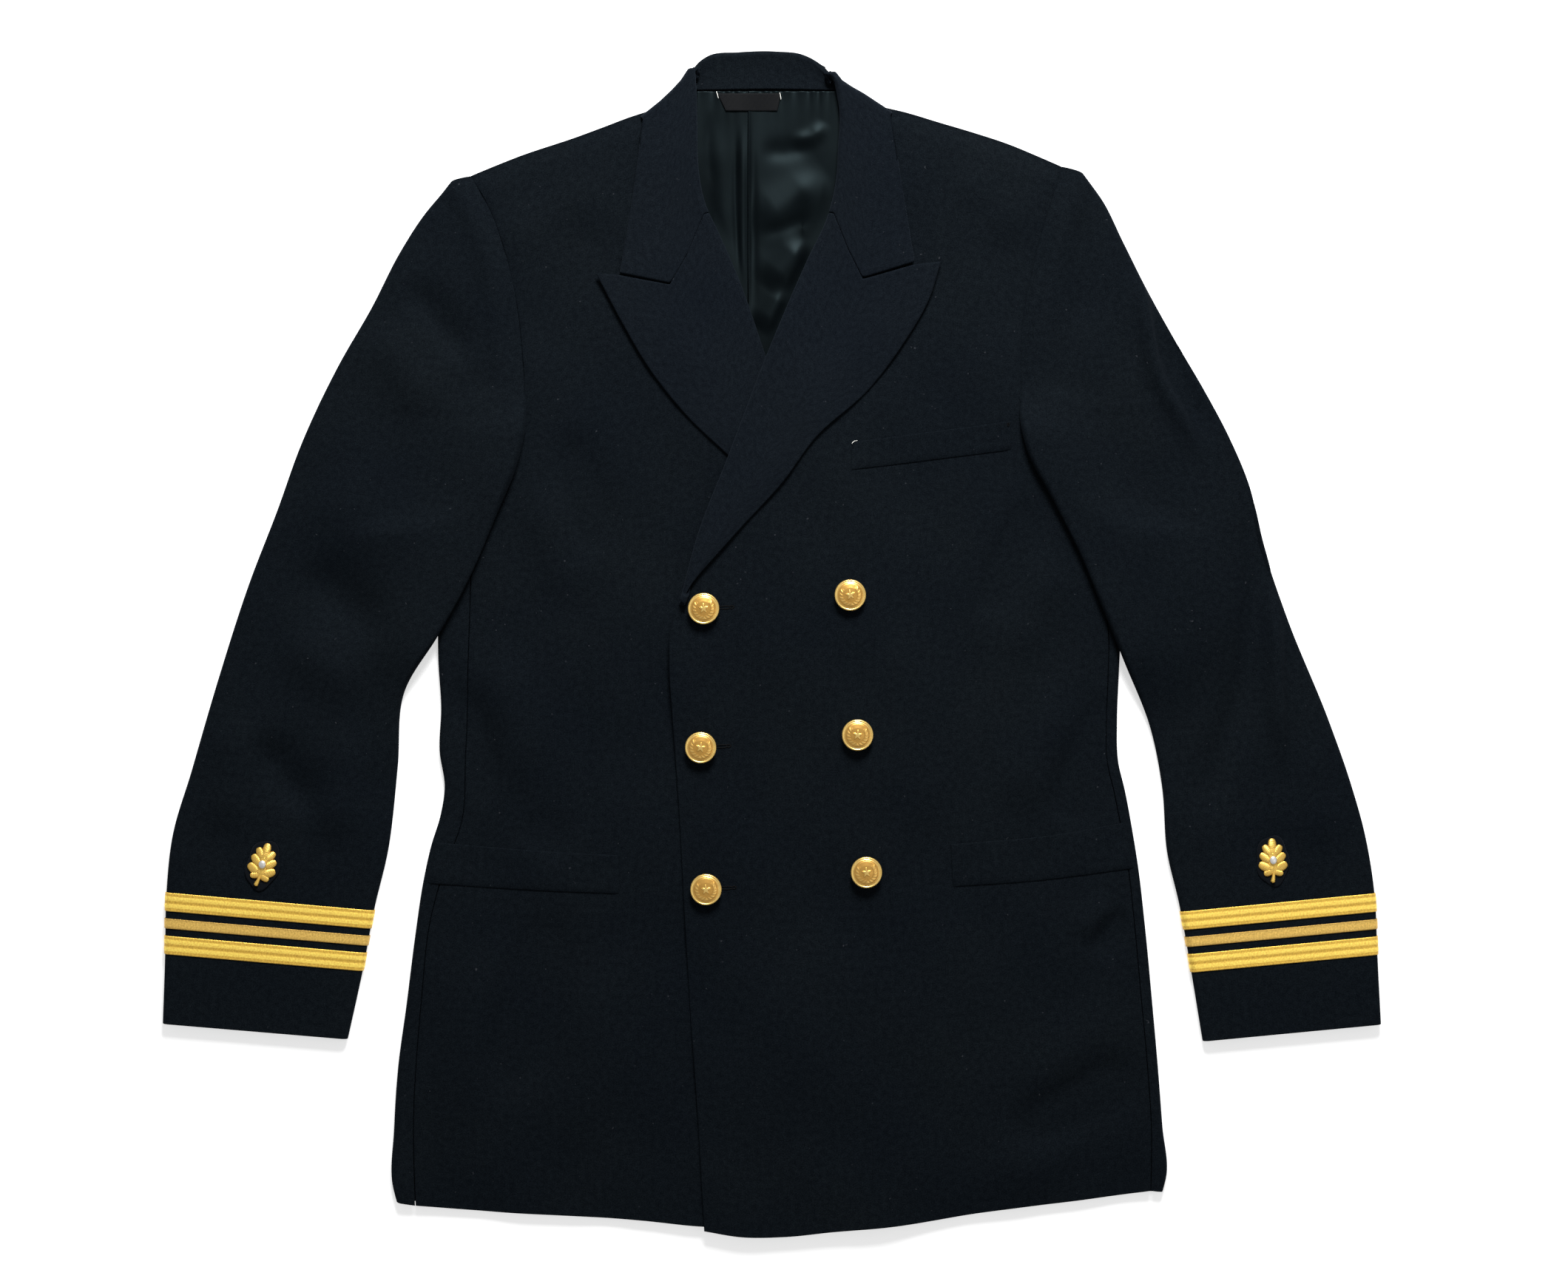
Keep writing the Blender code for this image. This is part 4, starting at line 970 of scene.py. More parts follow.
def collar_stand():
    """The band inside the neck: hollow across like a cup, then over the top edge."""
    u, v = shares(100, 90), shares(20, 26, end=False)
    low = along(line([(-60, 393.8), (0, 394.6), (46, 393.8)], 100), u)
    outline = along(line([(-58.6, 407.2), (-53.4, 413.6), *COLLAR_TOP, (38, 408.2),
                          (42.8, 402.6)], 100), u)
    out = plan_way(outline, -1)
    radius = STAND_TOP / 2 + 0.2
    low_z, high_z = STAND_TOP - 0.7, STAND_TOP + 1.4
    high = outline - radius * out
    plan = patch(low, high, along([low[0], high[0]], v), along([low[-1], high[-1]], v), u, v)
    x = plan[..., 0]
    hollow = 0.9 * np.sin(math.pi * v[:, None]) + 0.15 * np.sin(x / 4.1) * (1 - v[:, None])
    flat = raised(plan, low_z + (high_z - low_z) * v[:, None] - hollow)
    angle = np.linspace(0, math.pi / 2, 10)[1:, None, None]
    over = (np.concatenate([high, np.full((len(u), 1), high_z - radius)], axis=1)[None]
            + radius * (np.concatenate([out, 0 * out[:, :1]], axis=1) * np.sin(angle)
                        + np.array((0, 0, 1.0)) * np.cos(angle)))
    made = cloth("stand", np.concatenate([flat, over]), COLLAR - 1.2, body_serge)
    return lay(made, "wool", "collar_stand")


stand = collar_stand()
print("collar points:", len(collar.data.vertices), "stand points:", len(stand.data.vertices))

# %% [markdown]
# ## Satin lining and its label
# Inside the neck shows the lining: black satin with a green cast, cut with a pleat down the
# middle of the back so that the wearer can reach forward. It puckers at the neck seam, and
# the sleek face catches broad, soft lights along its hollows.

# %% The satin
def satin(name):
    """Sleek satin: long fine threads on the cut's map, and a cloudy green black."""
    made, tree, shader = plain(name, (0.0014, 0.0022, 0.0026), roughness=0.45,
                               specular_ior_level=0.085, specular_tint=(0.62, 0.92, 1.0, 1.0),
                               anisotropic=0.3)
    thread = texture(tree, "Noise", "UV", {"Scale": (2600.0, 240.0, 1.0)}, scale=1.0, detail=2.0)
    cloud = texture(tree, "Noise", scale=34.0, detail=3.0)
    base = ramp(tree, cloud.outputs[0], (0.3, (0.0004, 0.0006, 0.0009)),
                (0.7, (0.0011, 0.0017, 0.0023)))
    fine = ramp(tree, thread.outputs[0], (0.3, (0.8, 0.8, 0.8)), (0.7, (1.2, 1.2, 1.2)))
    tree.links.new(blend_colours(tree, "MULTIPLY", 1.0, base, fine), shader.inputs["Base Color"])
    bumped(tree, shader, thread.outputs["Color"], 0.25, 0.00005)
    return made


def grained(name, dark, light, stops, grain, strength, distance, **sockets):
    """A finish that goes from dark to light over one texture, which also bumps it."""
    made, tree, shader = plain(name, dark, **sockets)
    drawn = texture(tree, **grain)
    tone = ramp(tree, drawn.outputs["Color"], (stops[0], dark), (stops[1], light))
    tree.links.new(tone, shader.inputs["Base Color"])
    bumped(tree, shader, drawn.outputs["Color"], strength, distance)
    return made


lining_satin = satin("black_satin")
label_weave = grained("woven_label", (0.0012, 0.0014, 0.0018), (0.0036, 0.0041, 0.0050), (0.2, 0.8),
                      {"kind": "Wave", "source": "UV", "scale": WAVE_TURNS / 0.0006,
                       "distortion": 0.4}, 0.5, 0.0001, roughness=0.5, specular_ior_level=0.06)

# %% Lining and label
LINING_LOW = 200.0                  # where the crossed lapels hide the lining
LINING_FOLDS = {
    "right": [([(-26.5, 374), (-27, 320), (-24, 250)], 2.2, -0.9),
              ([(-22, 376), (-22, 310), (-21, 240)], 3.0, 1.3),
              ([(-40, 372), (-38, 330), (-32, 280)], 6.0, 0.9),
              ([(-46, 380), (-47, 350), (-43, 320)], 4.0, -0.7)],
    "left": [([(-15, 376), (-15, 310), (-14, 232)], 3.0, -1.0),
             ([(-18, 296), (8, 310), (40, 334)], 15.0, 4.4),
             ([(-6, 252), (9, 268), (26, 288)], 12.0, 3.5),
             ([(-10, 222), (0, 236), (12, 252)], 10.0, 3.0),
             ([(-12, 352), (8, 350), (30, 358)], 7.0, -1.4),
             ([(36, 372), (30, 362), (10, 356)], 5.0, 1.6),
             ([(-12, 290), (6, 296), (28, 306)], 5.0, -1.4)]}


def lining_top(x, y):
    """Face of the lining: it lies on the inside of the back."""
    return BACK + neck_raise(x, y) + 0.9 + LINING


def lining(side, rows=120, cols=60):
    """Half of the lining, with its folds, the pucker of its neck seam and the pleat's lip."""
    way = inward(side)
    u, v = shares(55, cols), shares(185, rows)
    outer = along(line(LINING_EDGE[side], 200), v)
    pleat = np.full(len(v), PLEAT_X - way * 0.15)
    inner = np.stack([pleat, LINING_LOW + v * (NECK_SEAM_Y - LINING_LOW)], axis=1)
    bottom, top = along([inner[0], outer[0]], u), along([inner[-1], outer[-1]], u)
    plan = patch(bottom, top, inner, outer, u, v)
    x, y = plan[..., 0], plan[..., 1]
    roll = at_height(line(ROLL[side], 200), y[:, 0])[:, :1]
    open_way = smooth(way * (x - roll), -3, 9)
    folds = sum(fold(x, y, *one) for one in LINING_FOLDS[side]) * open_way
    gather = 0.55 * np.sin(x / 1.35 + np.sin(x / 5.0)) * np.exp(-(NECK_SEAM_Y - y) / 7.0) * open_way
    lip = 1.1 * np.exp(-np.abs(x - PLEAT_X) / 1.6) if side == "left" else 0.0
    z = lining_top(x, y) + folds + gather + lip
    made = cloth(f"{side}_lining", raised(plan, z), LINING, lining_satin)
    return lay(made, "satin", f"lining_{side}")


right_lining, left_lining = lining("right"), lining("left")


def neck_label():
    """A blank woven label, sewn to the lining by its upper corners."""
    u, v = shares(42, 40), shares(12.5, 14)
    low = along([(-34, 378.5), (2.6, 378.5)], u)
    high = along([(-40, 391), (5.6, 391)], u)
    plan = patch(low, high, along([low[0], high[0]], v), along([low[-1], high[-1]], v), u, v)
    x, y = plan[..., 0], plan[..., 1]
    z = lining_top(x, y) + 0.5 + LABEL + 0.35 * np.sin(x / 6.0) * (1 - v[:, None])
    return lay(cloth("label", raised(plan, z), LABEL, label_weave), "label", "neck_label")


label = neck_label()
print("lining and label laid")

# %% [markdown]
# ## Pockets
# A welt is a folded strip sewn on along its lower edge and its two ends. Its upper edge is
# free and stands a little proud, which is why a fine shadow marks the pocket's mouth.

# %% Welts
WELT_LAY = 0.25


def welt(name, count=90):
    """A welt on its front: sewn down at its lower edge and ends, proud at its upper edge."""
    side, low, high = WELTS[name]
    length = abs(high[-1][0] - high[0][0])
    u, v = shares(length, count), shares(24, 16)
    bottom, top = along(line(low, 200), u), along(line(high, 200), u)
    plan = patch(bottom, top, along([bottom[0], top[0]], v), along([bottom[-1], top[-1]], v), u, v)
    x, y = plan[..., 0], plan[..., 1]
    flat = raised(plan, 0.0)
    up, across = column_travel(flat), row_travel(flat)
    ends = np.minimum(across, across[:, -1:] - across)
    z = front_face(side, x, y) + WELT_LAY + WELT
    z -= 1.15 * np.exp(-up / 2.2) + 0.9 * np.exp(-ends / 2.0)
    z += 0.35 * smooth(up / up[-1:], 0.5, 1.0) * smooth(ends, 0, 12) + pucker(across, up, 0.06)
    made = cloth(f"{name}_cloth", raised(plan, z), WELT, body_serge)
    return lay(made, "wool", name)


welts = [welt(name) for name in WELTS]
print("welts:", [w.name for w in welts])

# %% [markdown]
# ## Sleeves
# Each sleeve is cut in two: a top sleeve that wraps both folds, and a narrower under sleeve.
# Laid flat it is a thick ribbon, rounded at its folds. Over the side of the body it climbs,
# and at the shoulder its inner fold opens out until its edge lies along the armhole.

# %% Sleeve sections
HEAD_LAP = 0.7                      # how far the sleeve head reaches over the armhole seam
CALM_CUFF = (-176, -140)            # the folds begin between these heights
SLEEVE_SHIFT = 2.6                  # shifts the broad waves, so sleeve and body differ


def body_side_x(side, y):
    """Side of the body under the sleeve: the side fold, then the lower armhole."""
    points = np.concatenate([line(FOLD[side], 200), line(UNDERARM[side], 60)[1:]])
    return np.interp(y, points[:, 1], points[:, 0])


def sleeve_floor(side, x, y):
    """Height of the underside: the table, or up over the side of the body."""
    outside = np.abs(x) - np.abs(body_side_x(side, y))
    over = (BODY + 2.4) * (1 - smooth(outside, 6, 74)) * (1 - smooth(y, 146, 186))
    return np.maximum(over * smooth(y, -64, 0), CUFF_LIFT * (1 - smooth(y, -130, -95)))


def sleeve_relief(side, x, y, level, s):
    """Folds, fullness and padded head of a sleeve; the cuff under the lace stays calm."""
    calm = smooth(y, *CALM_CUFF)
    full = 1.6 * np.sin(math.pi * np.clip(s, 0, 1)) ** 0.8 * smooth(y, -150, -40)
    folds = handling(x, y, SLEEVE_FOLDS[side], SLEEVE_SHIFT) * calm
    return (folds + full) * smooth(level, 0.7, 1.0)


def sleeve_grids(side, rows=150, cols=56):
    """Outer faces of the top sleeve and the under sleeve."""
    head = line(ARMHOLE[side], 80) + (inward(side) * HEAD_LAP, 0)
    inner_line = np.concatenate([line(INNER[side], 300), head[1:]])
    v = shares(620, rows)
    inner, outer = along(inner_line, v), along(line(OUTER[side], 400), v)
    width = np.linalg.norm(inner - outer, axis=1)[:, None]
    way = (inner - outer) / width
    wrapped = 1 - smooth(inner[:, 1:], 150, 186)
    radius = np.minimum(SLEEVE_DEPTH / 2, 0.3 * width)
    wrap_e = np.minimum(OUTER_WRAP, 0.3 * width)
    wrap_i = radius + (np.minimum(INNER_WRAP, 0.3 * width) - radius) * wrapped
    low_start, low_end = wrap_e + 2 * SEAM, width - wrap_i * wrapped - 8 * SEAM
    angle = np.linspace(0, math.pi, 15)[None]
    middle = np.linspace(0, 1, cols + 2)[None, 1:-1]
    tuck = shares(15, 5, end=False)[None, :-1]
    start = radius * (1 - np.sin(angle))
    end = width - radius + radius * np.sin(angle)
    end = end * wrapped + (width - radius + np.linspace(0, 1, 15)[None] * radius) * (1 - wrapped)
    under_share = 1 - tuck[:, ::-1]
    tail = end[:, -1:] + under_share * (0.05 * (1 - wrapped) - (wrap_i - radius + 0.05) * wrapped)
    s = np.concatenate([wrap_e + tuck * (radius - wrap_e), start,
                        radius + middle * (width - 2 * radius), end, tail], axis=1)
    level = np.concatenate([0 * tuck + 0 * width, (1 - np.cos(angle)) / 2 + 0 * width,
                            1 + 0 * middle + 0 * width, 1 - (1 - np.cos(angle)) / 2 * wrapped,
                            0 * tuck + 1 - wrapped], axis=1)
    plan = outer[:, None] + s[..., None] * way[:, None]
    x, y = plan[..., 0], plan[..., 1]
    z = sleeve_floor(side, x, y) + 2 * radius * level
    z += sleeve_relief(side, x, y, level, s / width)
    seam = (1 - wrapped) * np.maximum(width - s, 0)
    z += (1 - wrapped) * (2.6 * np.exp(-((seam - 15) / 9)**2) - seam_dip(seam, 1.9, 6.0)
                          + pucker(y, seam, 0.08))
    top = np.stack([x, y, z], axis=-1)
    across = shares(90, 34)[None]
    s = low_start + across * (low_end - low_start)
    plan = outer[:, None] + s[..., None] * way[:, None]
    under = raised(plan, sleeve_floor(side, plan[..., 0], plan[..., 1]))
    return top, under


def sleeve(side):
    """The top sleeve and the under sleeve of one arm."""
    top, under = sleeve_grids(side)
    made = cloth(f"{side}_top_sleeve", top, SLEEVE, body_serge, nose=SEWN)
    below = cloth(f"{side}_under_sleeve", under, SLEEVE, body_serge, facing=-1, nose=SEWN)
    return lay(made, "wool", f"sleeve_top_{side}"), lay(below, "wool", f"sleeve_under_{side}")


right_sleeve, right_under_sleeve = sleeve("right")
left_sleeve, left_under_sleeve = sleeve("left")
print("sleeve points:", len(right_sleeve.data.vertices), len(left_under_sleeve.data.vertices))

# %% [markdown]
# ## Gold lace
# Sleeve lace is a ribbon of gilt thread over a silk core. The wide rings have two raised
# bright bands, a duller rib between them and beaded edges; the narrow one is plain and mat.
# Its map runs once across the ribbon, so bands and ribs are drawn from the place across it.

# %% The lace
def lace_gold(name, wide):
    """Woven gilt: ribs across the ribbon every 0.7 mm, bands and beaded edges along it."""
    tone = (0.86, 0.60, 0.125) if wide else (0.74, 0.50, 0.135)
    made, tree, shader = plain(name, tone, metallic=0.55, roughness=0.42,
                               specular_ior_level=0.6)
    rib = texture(tree, "Wave", "UV", {"Scale": (1.0, 0.0, 0.0)}, scale=WAVE_TURNS / 0.0007,
                  distortion=0.6, detail=1.0)
    grain = texture(tree, "Noise", scale=800.0, detail=2.0)
    split = add_node(tree, "ShaderNodeSeparateXYZ")
    tree.links.new(add_node(tree, "ShaderNodeTexCoord").outputs["UV"], split.inputs[0])
    if wide:
        bands = ramp(tree, split.outputs["Y"], (0.0, (0.52, 0.46, 0.38)),
                     (0.07, (1.0, 0.93, 0.75)), (0.15, (0.82, 0.74, 0.54)),
                     (0.22, (1.4, 1.42, 1.35)), (0.38, (1.35, 1.36, 1.3)),
                     (0.46, (0.80, 0.72, 0.52)), (0.54, (0.80, 0.72, 0.52)),
                     (0.62, (1.35, 1.36, 1.3)), (0.78, (1.4, 1.42, 1.35)),
                     (0.85, (0.82, 0.74, 0.54)), (0.93, (1.0, 0.93, 0.75)))
    else:
        bands = ramp(tree, split.outputs["Y"], (0.0, (0.6, 0.54, 0.44)), (0.2, (1.0, 0.98, 0.95)),
                     (0.5, (1.12, 1.1, 1.05)), (0.8, (1.0, 0.98, 0.95)), (1.0, (0.6, 0.54, 0.44)))
    ribs = ramp(tree, rib.outputs["Color"], (0.1, (0.72, 0.66, 0.5)), (0.7, (1.1, 1.1, 1.1)))
    specks = ramp(tree, grain.outputs[0], (0.3, (0.8, 0.76, 0.68)), (0.7, (1.18, 1.18, 1.14)))
    base = blend_colours(tree, "MULTIPLY", 1.0, (*tone, 1.0), bands)
    base = blend_colours(tree, "MULTIPLY", 0.8, base, ribs)
    base = blend_colours(tree, "MULTIPLY", 1.0, base, specks)
    tree.links.new(base, shader.inputs["Base Color"])
    bumped(tree, shader, rib.outputs["Color"], 0.5, 0.00012)
    return made


wide_lace, narrow_lace = lace_gold("gold_lace_wide", True), lace_gold("gold_lace_narrow", False)


def at_distance(points, distance):
    """The places on a line at distances from its start."""
    fine = line(points, 400)
    travel = np.r_[0.0, np.cumsum(np.hypot(*np.diff(fine, axis=0).T))]
    return np.stack([np.interp(distance, travel, fine[:, k]) for k in (0, 1)], axis=1)


def lace_ring(side, number):
    """A ribbon round the cuff: two half circles joined by two flats, swept up the sleeve."""
    wide = LACE_WIDTHS[number]
    begin = LACE_START + sum(LACE_WIDTHS[:number]) + number * LACE_SPACE
    v = np.r_[0, 0.01, 0.04, 0.09, np.linspace(0.14, 0.86, 15), 0.91, 0.96, 0.99, 1.0]
    e, i = (at_distance(points[side], begin + v * wide) for points in (OUTER, INNER))
    width = np.linalg.norm(i - e, axis=1)[:, None]
    radius = SLEEVE_DEPTH / 2
    band = (0.14 * np.exp(-((v - 0.3) / 0.11)**4) + 0.14 * np.exp(-((v - 0.7) / 0.11)**4)
            if wide > 10 else 0.10 * np.sin(math.pi * v))[:, None]
    out = LACE_GAP + 0.3 + band
    angle = np.linspace(0, math.pi, 12)[None]
    flat = np.linspace(0, 1, 60)[None, 1:-1]
    run = width - 2 * radius
    s = np.concatenate([radius - (radius + out) * np.sin(angle), radius + flat * run,
                        width - radius + (radius + out) * np.sin(angle),
                        width - radius - flat * run], axis=1)
    z = np.concatenate([radius - (radius + out) * np.cos(angle), 2 * radius + out + 0 * flat,
                        radius + (radius + out) * np.cos(angle), -out + 0 * flat], axis=1)
    plan = e[:, None] + s[..., None] * ((i - e) / width)[:, None]
    ring = np.concatenate([plan, (z + CUFF_LIFT)[..., None]], axis=-1)
    ring = np.concatenate([ring, ring[:, :1]], axis=1)
    uv = np.stack([row_travel(ring) * MM, np.broadcast_to(v[:, None], ring.shape[:2])], axis=-1)
    made = cloth(f"{side}_lace_{number + 1}", ring, LACE - 0.4,
                 wide_lace if wide > 10 else narrow_lace, look=(0.5, 0.3), wrap=True, uv=uv)
    return lay(made, "lace", f"lace_{side}_{number + 1}")


laces = {side: [lace_ring(side, n) for n in range(len(LACE_WIDTHS))] for side in OUTER}
print("lace rings:", [o.name for o in laces["left"]])

# %% [markdown]
# ## Gilt buttons
# A uniform button is struck from thin brass and gilt: a dome with a rope round its rim and a
# device in low relief. The device here is a plain one, a star in a wreath of leaves. Height
# is a function of the radius and the angle, so one formula strikes all six. Painted shade
# darkens the hollows and steep sides of the device; an attribute carries it to the finish.

# %% Gilt
def gilt_metal(name, shade_colour, bright, roughness):
    """Gilding with painted shade, from the shade colour to bright by the piece's relief attribute.
    """
    made, tree, shader = plain(name, bright, metallic=0.82, roughness=roughness)
    relief = add_node(tree, "ShaderNodeAttribute", attribute_name="relief")
    wear = texture(tree, "Noise", scale=260.0, detail=3.0)
    # Painted shade: low values of the relief attribute turn the gilt towards the shade colour.
    tone = ramp(tree, relief.outputs["Fac"], (0.0, shade_colour), (0.55, tuple(
        0.45 * d + 0.55 * b for d, b in zip(shade_colour, bright))), (1.0, bright))
    rub = ramp(tree, wear.outputs[0], (0.3, (0.86, 0.84, 0.8)), (0.7, (1.04, 1.04, 1.04)))
    tree.links.new(blend_colours(tree, "MULTIPLY", 1.0, tone, rub), shader.inputs["Base Color"])
    rough = ramp(tree, wear.outputs[0], (0.2, (roughness + 0.1,) * 3), (0.8, (roughness,) * 3))
    tree.links.new(rough, shader.inputs["Roughness"])
    return made


button_gilt = gilt_metal("button_gilt", (0.58, 0.26, 0.032), (1.0, 0.69, 0.22), 0.24)


def with_painted_shade(made, values):
    """Stores painted shade from 0 (darkest) to 1 (brightest) at every point."""
    mark = made.data.attributes.new("relief", "FLOAT", "POINT")
    mark.data.foreach_set("value", np.clip(values, 0, 1).astype(np.float32))
    return made


DIE_DEPTH = 0.42                    # how high the device stands on the dome


def star(r, angle, points=5, size=0.34, waist=0.40):
    """1 inside a star and 0 outside it, with soft sides."""
    turn = (angle * points / (2 * math.pi)) % 1.0
    edge = size * (waist + (1 - waist) * np.abs(2 * turn - 1) ** 1.35)
    return smooth(edge - r, -0.015, 0.03) * (1 - 0.4 * smooth(r / size, 0, 1))


def spray(r, angle, leaves=18, middle=0.59):
    """Overlapping leaves on a ring that is open at the top, like two crossed sprays."""
    lean = (r - middle) * 9.0 * np.where(np.cos(angle) < 0, 1, -1)
    leaf = np.abs(np.sin(angle * leaves / 2 + lean))
    ring = np.exp(-((r - middle) / 0.12)**4)
    below = smooth(0.80 - np.sin(angle), 0.0, 0.25)
    return ring * (0.25 + 0.75 * leaf ** 1.2) * below


def button(number, place, turn):
    """One button: its profile turned round, with rope, wreath and star raised on the dome."""
    r0 = BUTTON_RADIUS
    profile = np.array([(0, 6.9), (0.2, 6.85), (0.45, 6.5), (0.7, 5.85), (0.84, 5.2), (0.88, 5.0),
                        (0.93, 5.0), (0.985, 4.6), (1.0, 4.0), (0.99, 3.3), (0.93, 2.6),
                        (0.80, 2.2), (0.3, 1.95), (0.2, 1.9), (0.18, 1.6), (0.18, 0.3),
                        (0.15, 0.15), (0, 0.15)]) * (r0, 1.0)
    top = along(profile[:9], np.linspace(0, 1, 50))
    under = along(profile[8:], np.linspace(0, 1, 16))
    r, z = np.concatenate([top, under[1:]]).T[:, :, None]
    angle = np.linspace(-math.pi, math.pi, 112, endpoint=False)[None]
    share = r / r0
    on_top = (np.arange(len(r)) < len(top))[:, None]
    rim = np.exp(-((share - 0.94) / 0.055)**4)
    ring = np.exp(-((share - 0.80) / 0.02)**2)
    relief = (star(share, angle - math.pi / 2) + 0.8 * spray(share, angle)
              + 0.9 * rim + 0.35 * ring) * on_top
    tilt = math.radians(turn)
    x = place[0] + r * np.cos(angle + tilt)
    y = place[1] + r * np.sin(angle + tilt)
    base = float(front_face("left", *np.array(place))) + LAY
    rings = np.stack([x, y, base + z + DIE_DEPTH * relief], axis=-1)
    rings[[0, -1]] = rings[[0, -1]].mean(axis=1, keepdims=True)
    made = joined(f"gilt_button_{number}", [ringed(rings)], button_gilt)
    # Painted shade: the field and the steep sides of the device get low values and turn dark, the
    # raised device and the rim stay bright, and the bottom point is dark.
    steep = np.hypot(*np.gradient(relief)) * on_top
    inner = 1 - smooth(share, 0.76, 0.86)
    depth = 0.95 - inner * (0.62 - 0.70 * relief + 1.2 * steep)
    depth = np.concatenate([[1.0], depth[1:-1].ravel(), [0.4]])
    return lay(with_painted_shade(made, depth), "gilt", f"button_{number}")


BUTTON_TURNS = (4, -7, 3, 9, -4, 6)
buttons = [button(n, np.array(p), t)
           for n, (p, t) in enumerate(zip(BUTTONS, BUTTON_TURNS), 1)]
print("button points:", len(buttons[0].data.vertices))

# %% [markdown]
# ## The leaf sprigs
# Above the lace each sleeve has a sprig worked in gilt wire on black felt: lobed leaves in
# satin stitch about a stem, with a silver bead in the middle. Each lobe is a spindle whose
# thickness ripples, one ripple to a wire.

# %% Felt, wire and silver
felt = grained("black_felt", (0.0020, 0.0026, 0.0034), (0.0046, 0.0056, 0.0072), (0.3, 0.7),
               {"kind": "Noise", "scale": 1500.0, "detail": 4.0}, 0.7, 0.0002, roughness=1.0,
               specular_ior_level=0.03, sheen_weight=0.08, sheen_roughness=0.6,
               sheen_tint=(0.25, 0.28, 0.36, 1.0))
wire_gilt = gilt_metal("gilt_wire", (0.42, 0.22, 0.04), (0.88, 0.58, 0.13), 0.36)
bead_silver = gilt_metal("silver_bead", (0.45, 0.45, 0.46), (0.95, 0.94, 0.92), 0.28)

SPRIG_LIFT = LACE_GAP + 1.3
# Lobes of the sprig, upright: middle, angle from +X, half length and half width.
LOBES = [((0, 11.6), 90, 4.4, 3.0), ((-3.9, 7.9), 122, 4.2, 2.8), ((3.9, 7.4), 58, 4.2, 2.8),
         ((-5.4, 2.4), 136, 4.6, 3.0), ((5.3, 1.8), 44, 4.6, 3.0), ((-6.0, -3.8), 148, 4.6, 3.2),
         ((5.9, -4.3), 32, 4.6, 3.2), ((-3.4, -8.2), 196, 3.6, 2.4), ((3.4, -8.5), -16, 3.6, 2.4),
         ((0, 4.6), 90, 6.4, 3.6), ((0, -3.8), 90, 6.2, 3.8)]


def turned_plan(points, place, tilt):
    """Plan points turned by tilt degrees and moved to their place."""
    c, s = math.cos(math.radians(tilt)), math.sin(math.radians(tilt))
    return np.asarray(points, float) @ np.array([[c, s], [-s, c]]) + place


def lobe(middle, angle, long, wide, place, tilt, floor):
    """A satin-stitched lobe: a half spindle, its height rippling once every 0.9 mm."""
    t = np.linspace(-1, 1, 46)
    way = np.array([math.cos(math.radians(angle)), math.sin(math.radians(angle))])
    path = turned_plan(np.array(middle) + t[:, None] * long * way, place, tilt)
    round_end = np.sqrt(np.maximum(1 - t**2, 0))
    ripple = 1 + 0.10 * np.cos(2 * math.pi * t * long / 0.9)
    return spindle(np.column_stack([path, np.full(46, floor + 0.5)]),
                   wide * round_end**0.7 * (0.5 + 0.5 * ripple), 1.15 * round_end**0.6 * ripple,
                   around=14, floor=floor)


def sprig(side):
    """A felt patch, the leaf with its lobes and stem, and the bead, on the sleeve's face."""
    place, tilt = np.array(SPRIG[side][0]), SPRIG[side][1]
    z = float(sleeve_floor(side, *place)) + SLEEVE_DEPTH + SPRIG_LIFT
    z += float(handling(*place, SLEEVE_FOLDS[side], SLEEVE_SHIFT) * smooth(place[1], *CALM_CUFF))
    angle = np.linspace(0, 2 * math.pi, 72, endpoint=False)
    reach = 1 + 0.05 * np.cos(5 * angle + 0.6) - 0.06 * np.cos(2 * angle)
    profile = np.array([(0, -0.9), (0.6, -0.9), (0.97, -0.85), (1.0, -0.4), (0.97, 0.0),
                        (0.9, 0.1), (0.5, 0.1), (0, 0.1)])
    flat = np.stack([12.2 * np.cos(angle) * reach, 17.0 * np.sin(angle) * reach], axis=1)
    rings = np.stack([np.column_stack([turned_plan(flat * r, place, tilt),
                                       np.full(72, z + h)]) for r, h in profile])
    patch_made = lay(joined(f"{side}_felt", [ringed(rings)], felt), "felt",
                     f"leaf_patch_{side}")
    floor = z + 0.15
    stem = turned_plan(line([(0, 6), (0.3, -6), (-0.2, -11), (-1.2, -15.6)], 40), place, tilt)
    parts = [lobe(*one, place, tilt, floor) for one in LOBES]
    t = np.linspace(0, 1, 40)
    fat = (0.8 + 0.9 * smooth(t, 0.6, 1)) * np.sqrt(np.clip(np.minimum(t, 1 - t) * 20, 0, 1))
    parts.append(spindle(np.column_stack([stem, np.full(40, floor + 1.1)]),
                         fat, fat * (1 + 0.15 * np.cos(t * 130)), around=12, floor=floor))
    leaf = joined(f"{side}_leaf", parts, wire_gilt)
    # Painted shade: the wire is darker low down, at the sides of the lobes and the stem where they
    # meet the felt, and bright on top.
    height = np.concatenate([points[:, 2] for points, _ in parts])
    with_painted_shade(leaf, (height - floor) / 1.6)
    lay(leaf, "gilt_wire", f"leaf_{side}")
    rho = np.linspace(0, 1, 26)[:, None]
    around = np.linspace(0, 2 * math.pi, 48, endpoint=False)[None]
    r = 2.6 * np.sin(math.pi * rho) ** 0.9
    coil = 1 + 0.06 * np.cos(9 * math.pi * rho * 2)
    up = 1.5 * np.cos(math.pi * rho) * coil
    rings = np.stack([place[0] + r * np.cos(around), place[1] + 0.6 + r * np.sin(around) * 1.15,
                      floor + 2.2 + up + 0 * around], axis=-1)
    bead = joined(f"{side}_bead", [ringed(rings)], bead_silver)
    lay(with_painted_shade(bead, np.full(len(bead.data.vertices), 0.85)), "silver", f"bead_{side}")
    return patch_made, leaf, bead


sprigs = {side: sprig(side) for side in SPRIG}
print("leaf points:", len(sprigs["left"][1].data.vertices))

# %% [markdown]
# ## Thread
# The last things a tailor does are small: buttonholes worked in purl stitch, a bar tack at
# the pocket, white basting ends that nobody pulled out. Each is a spindle or two of thread.

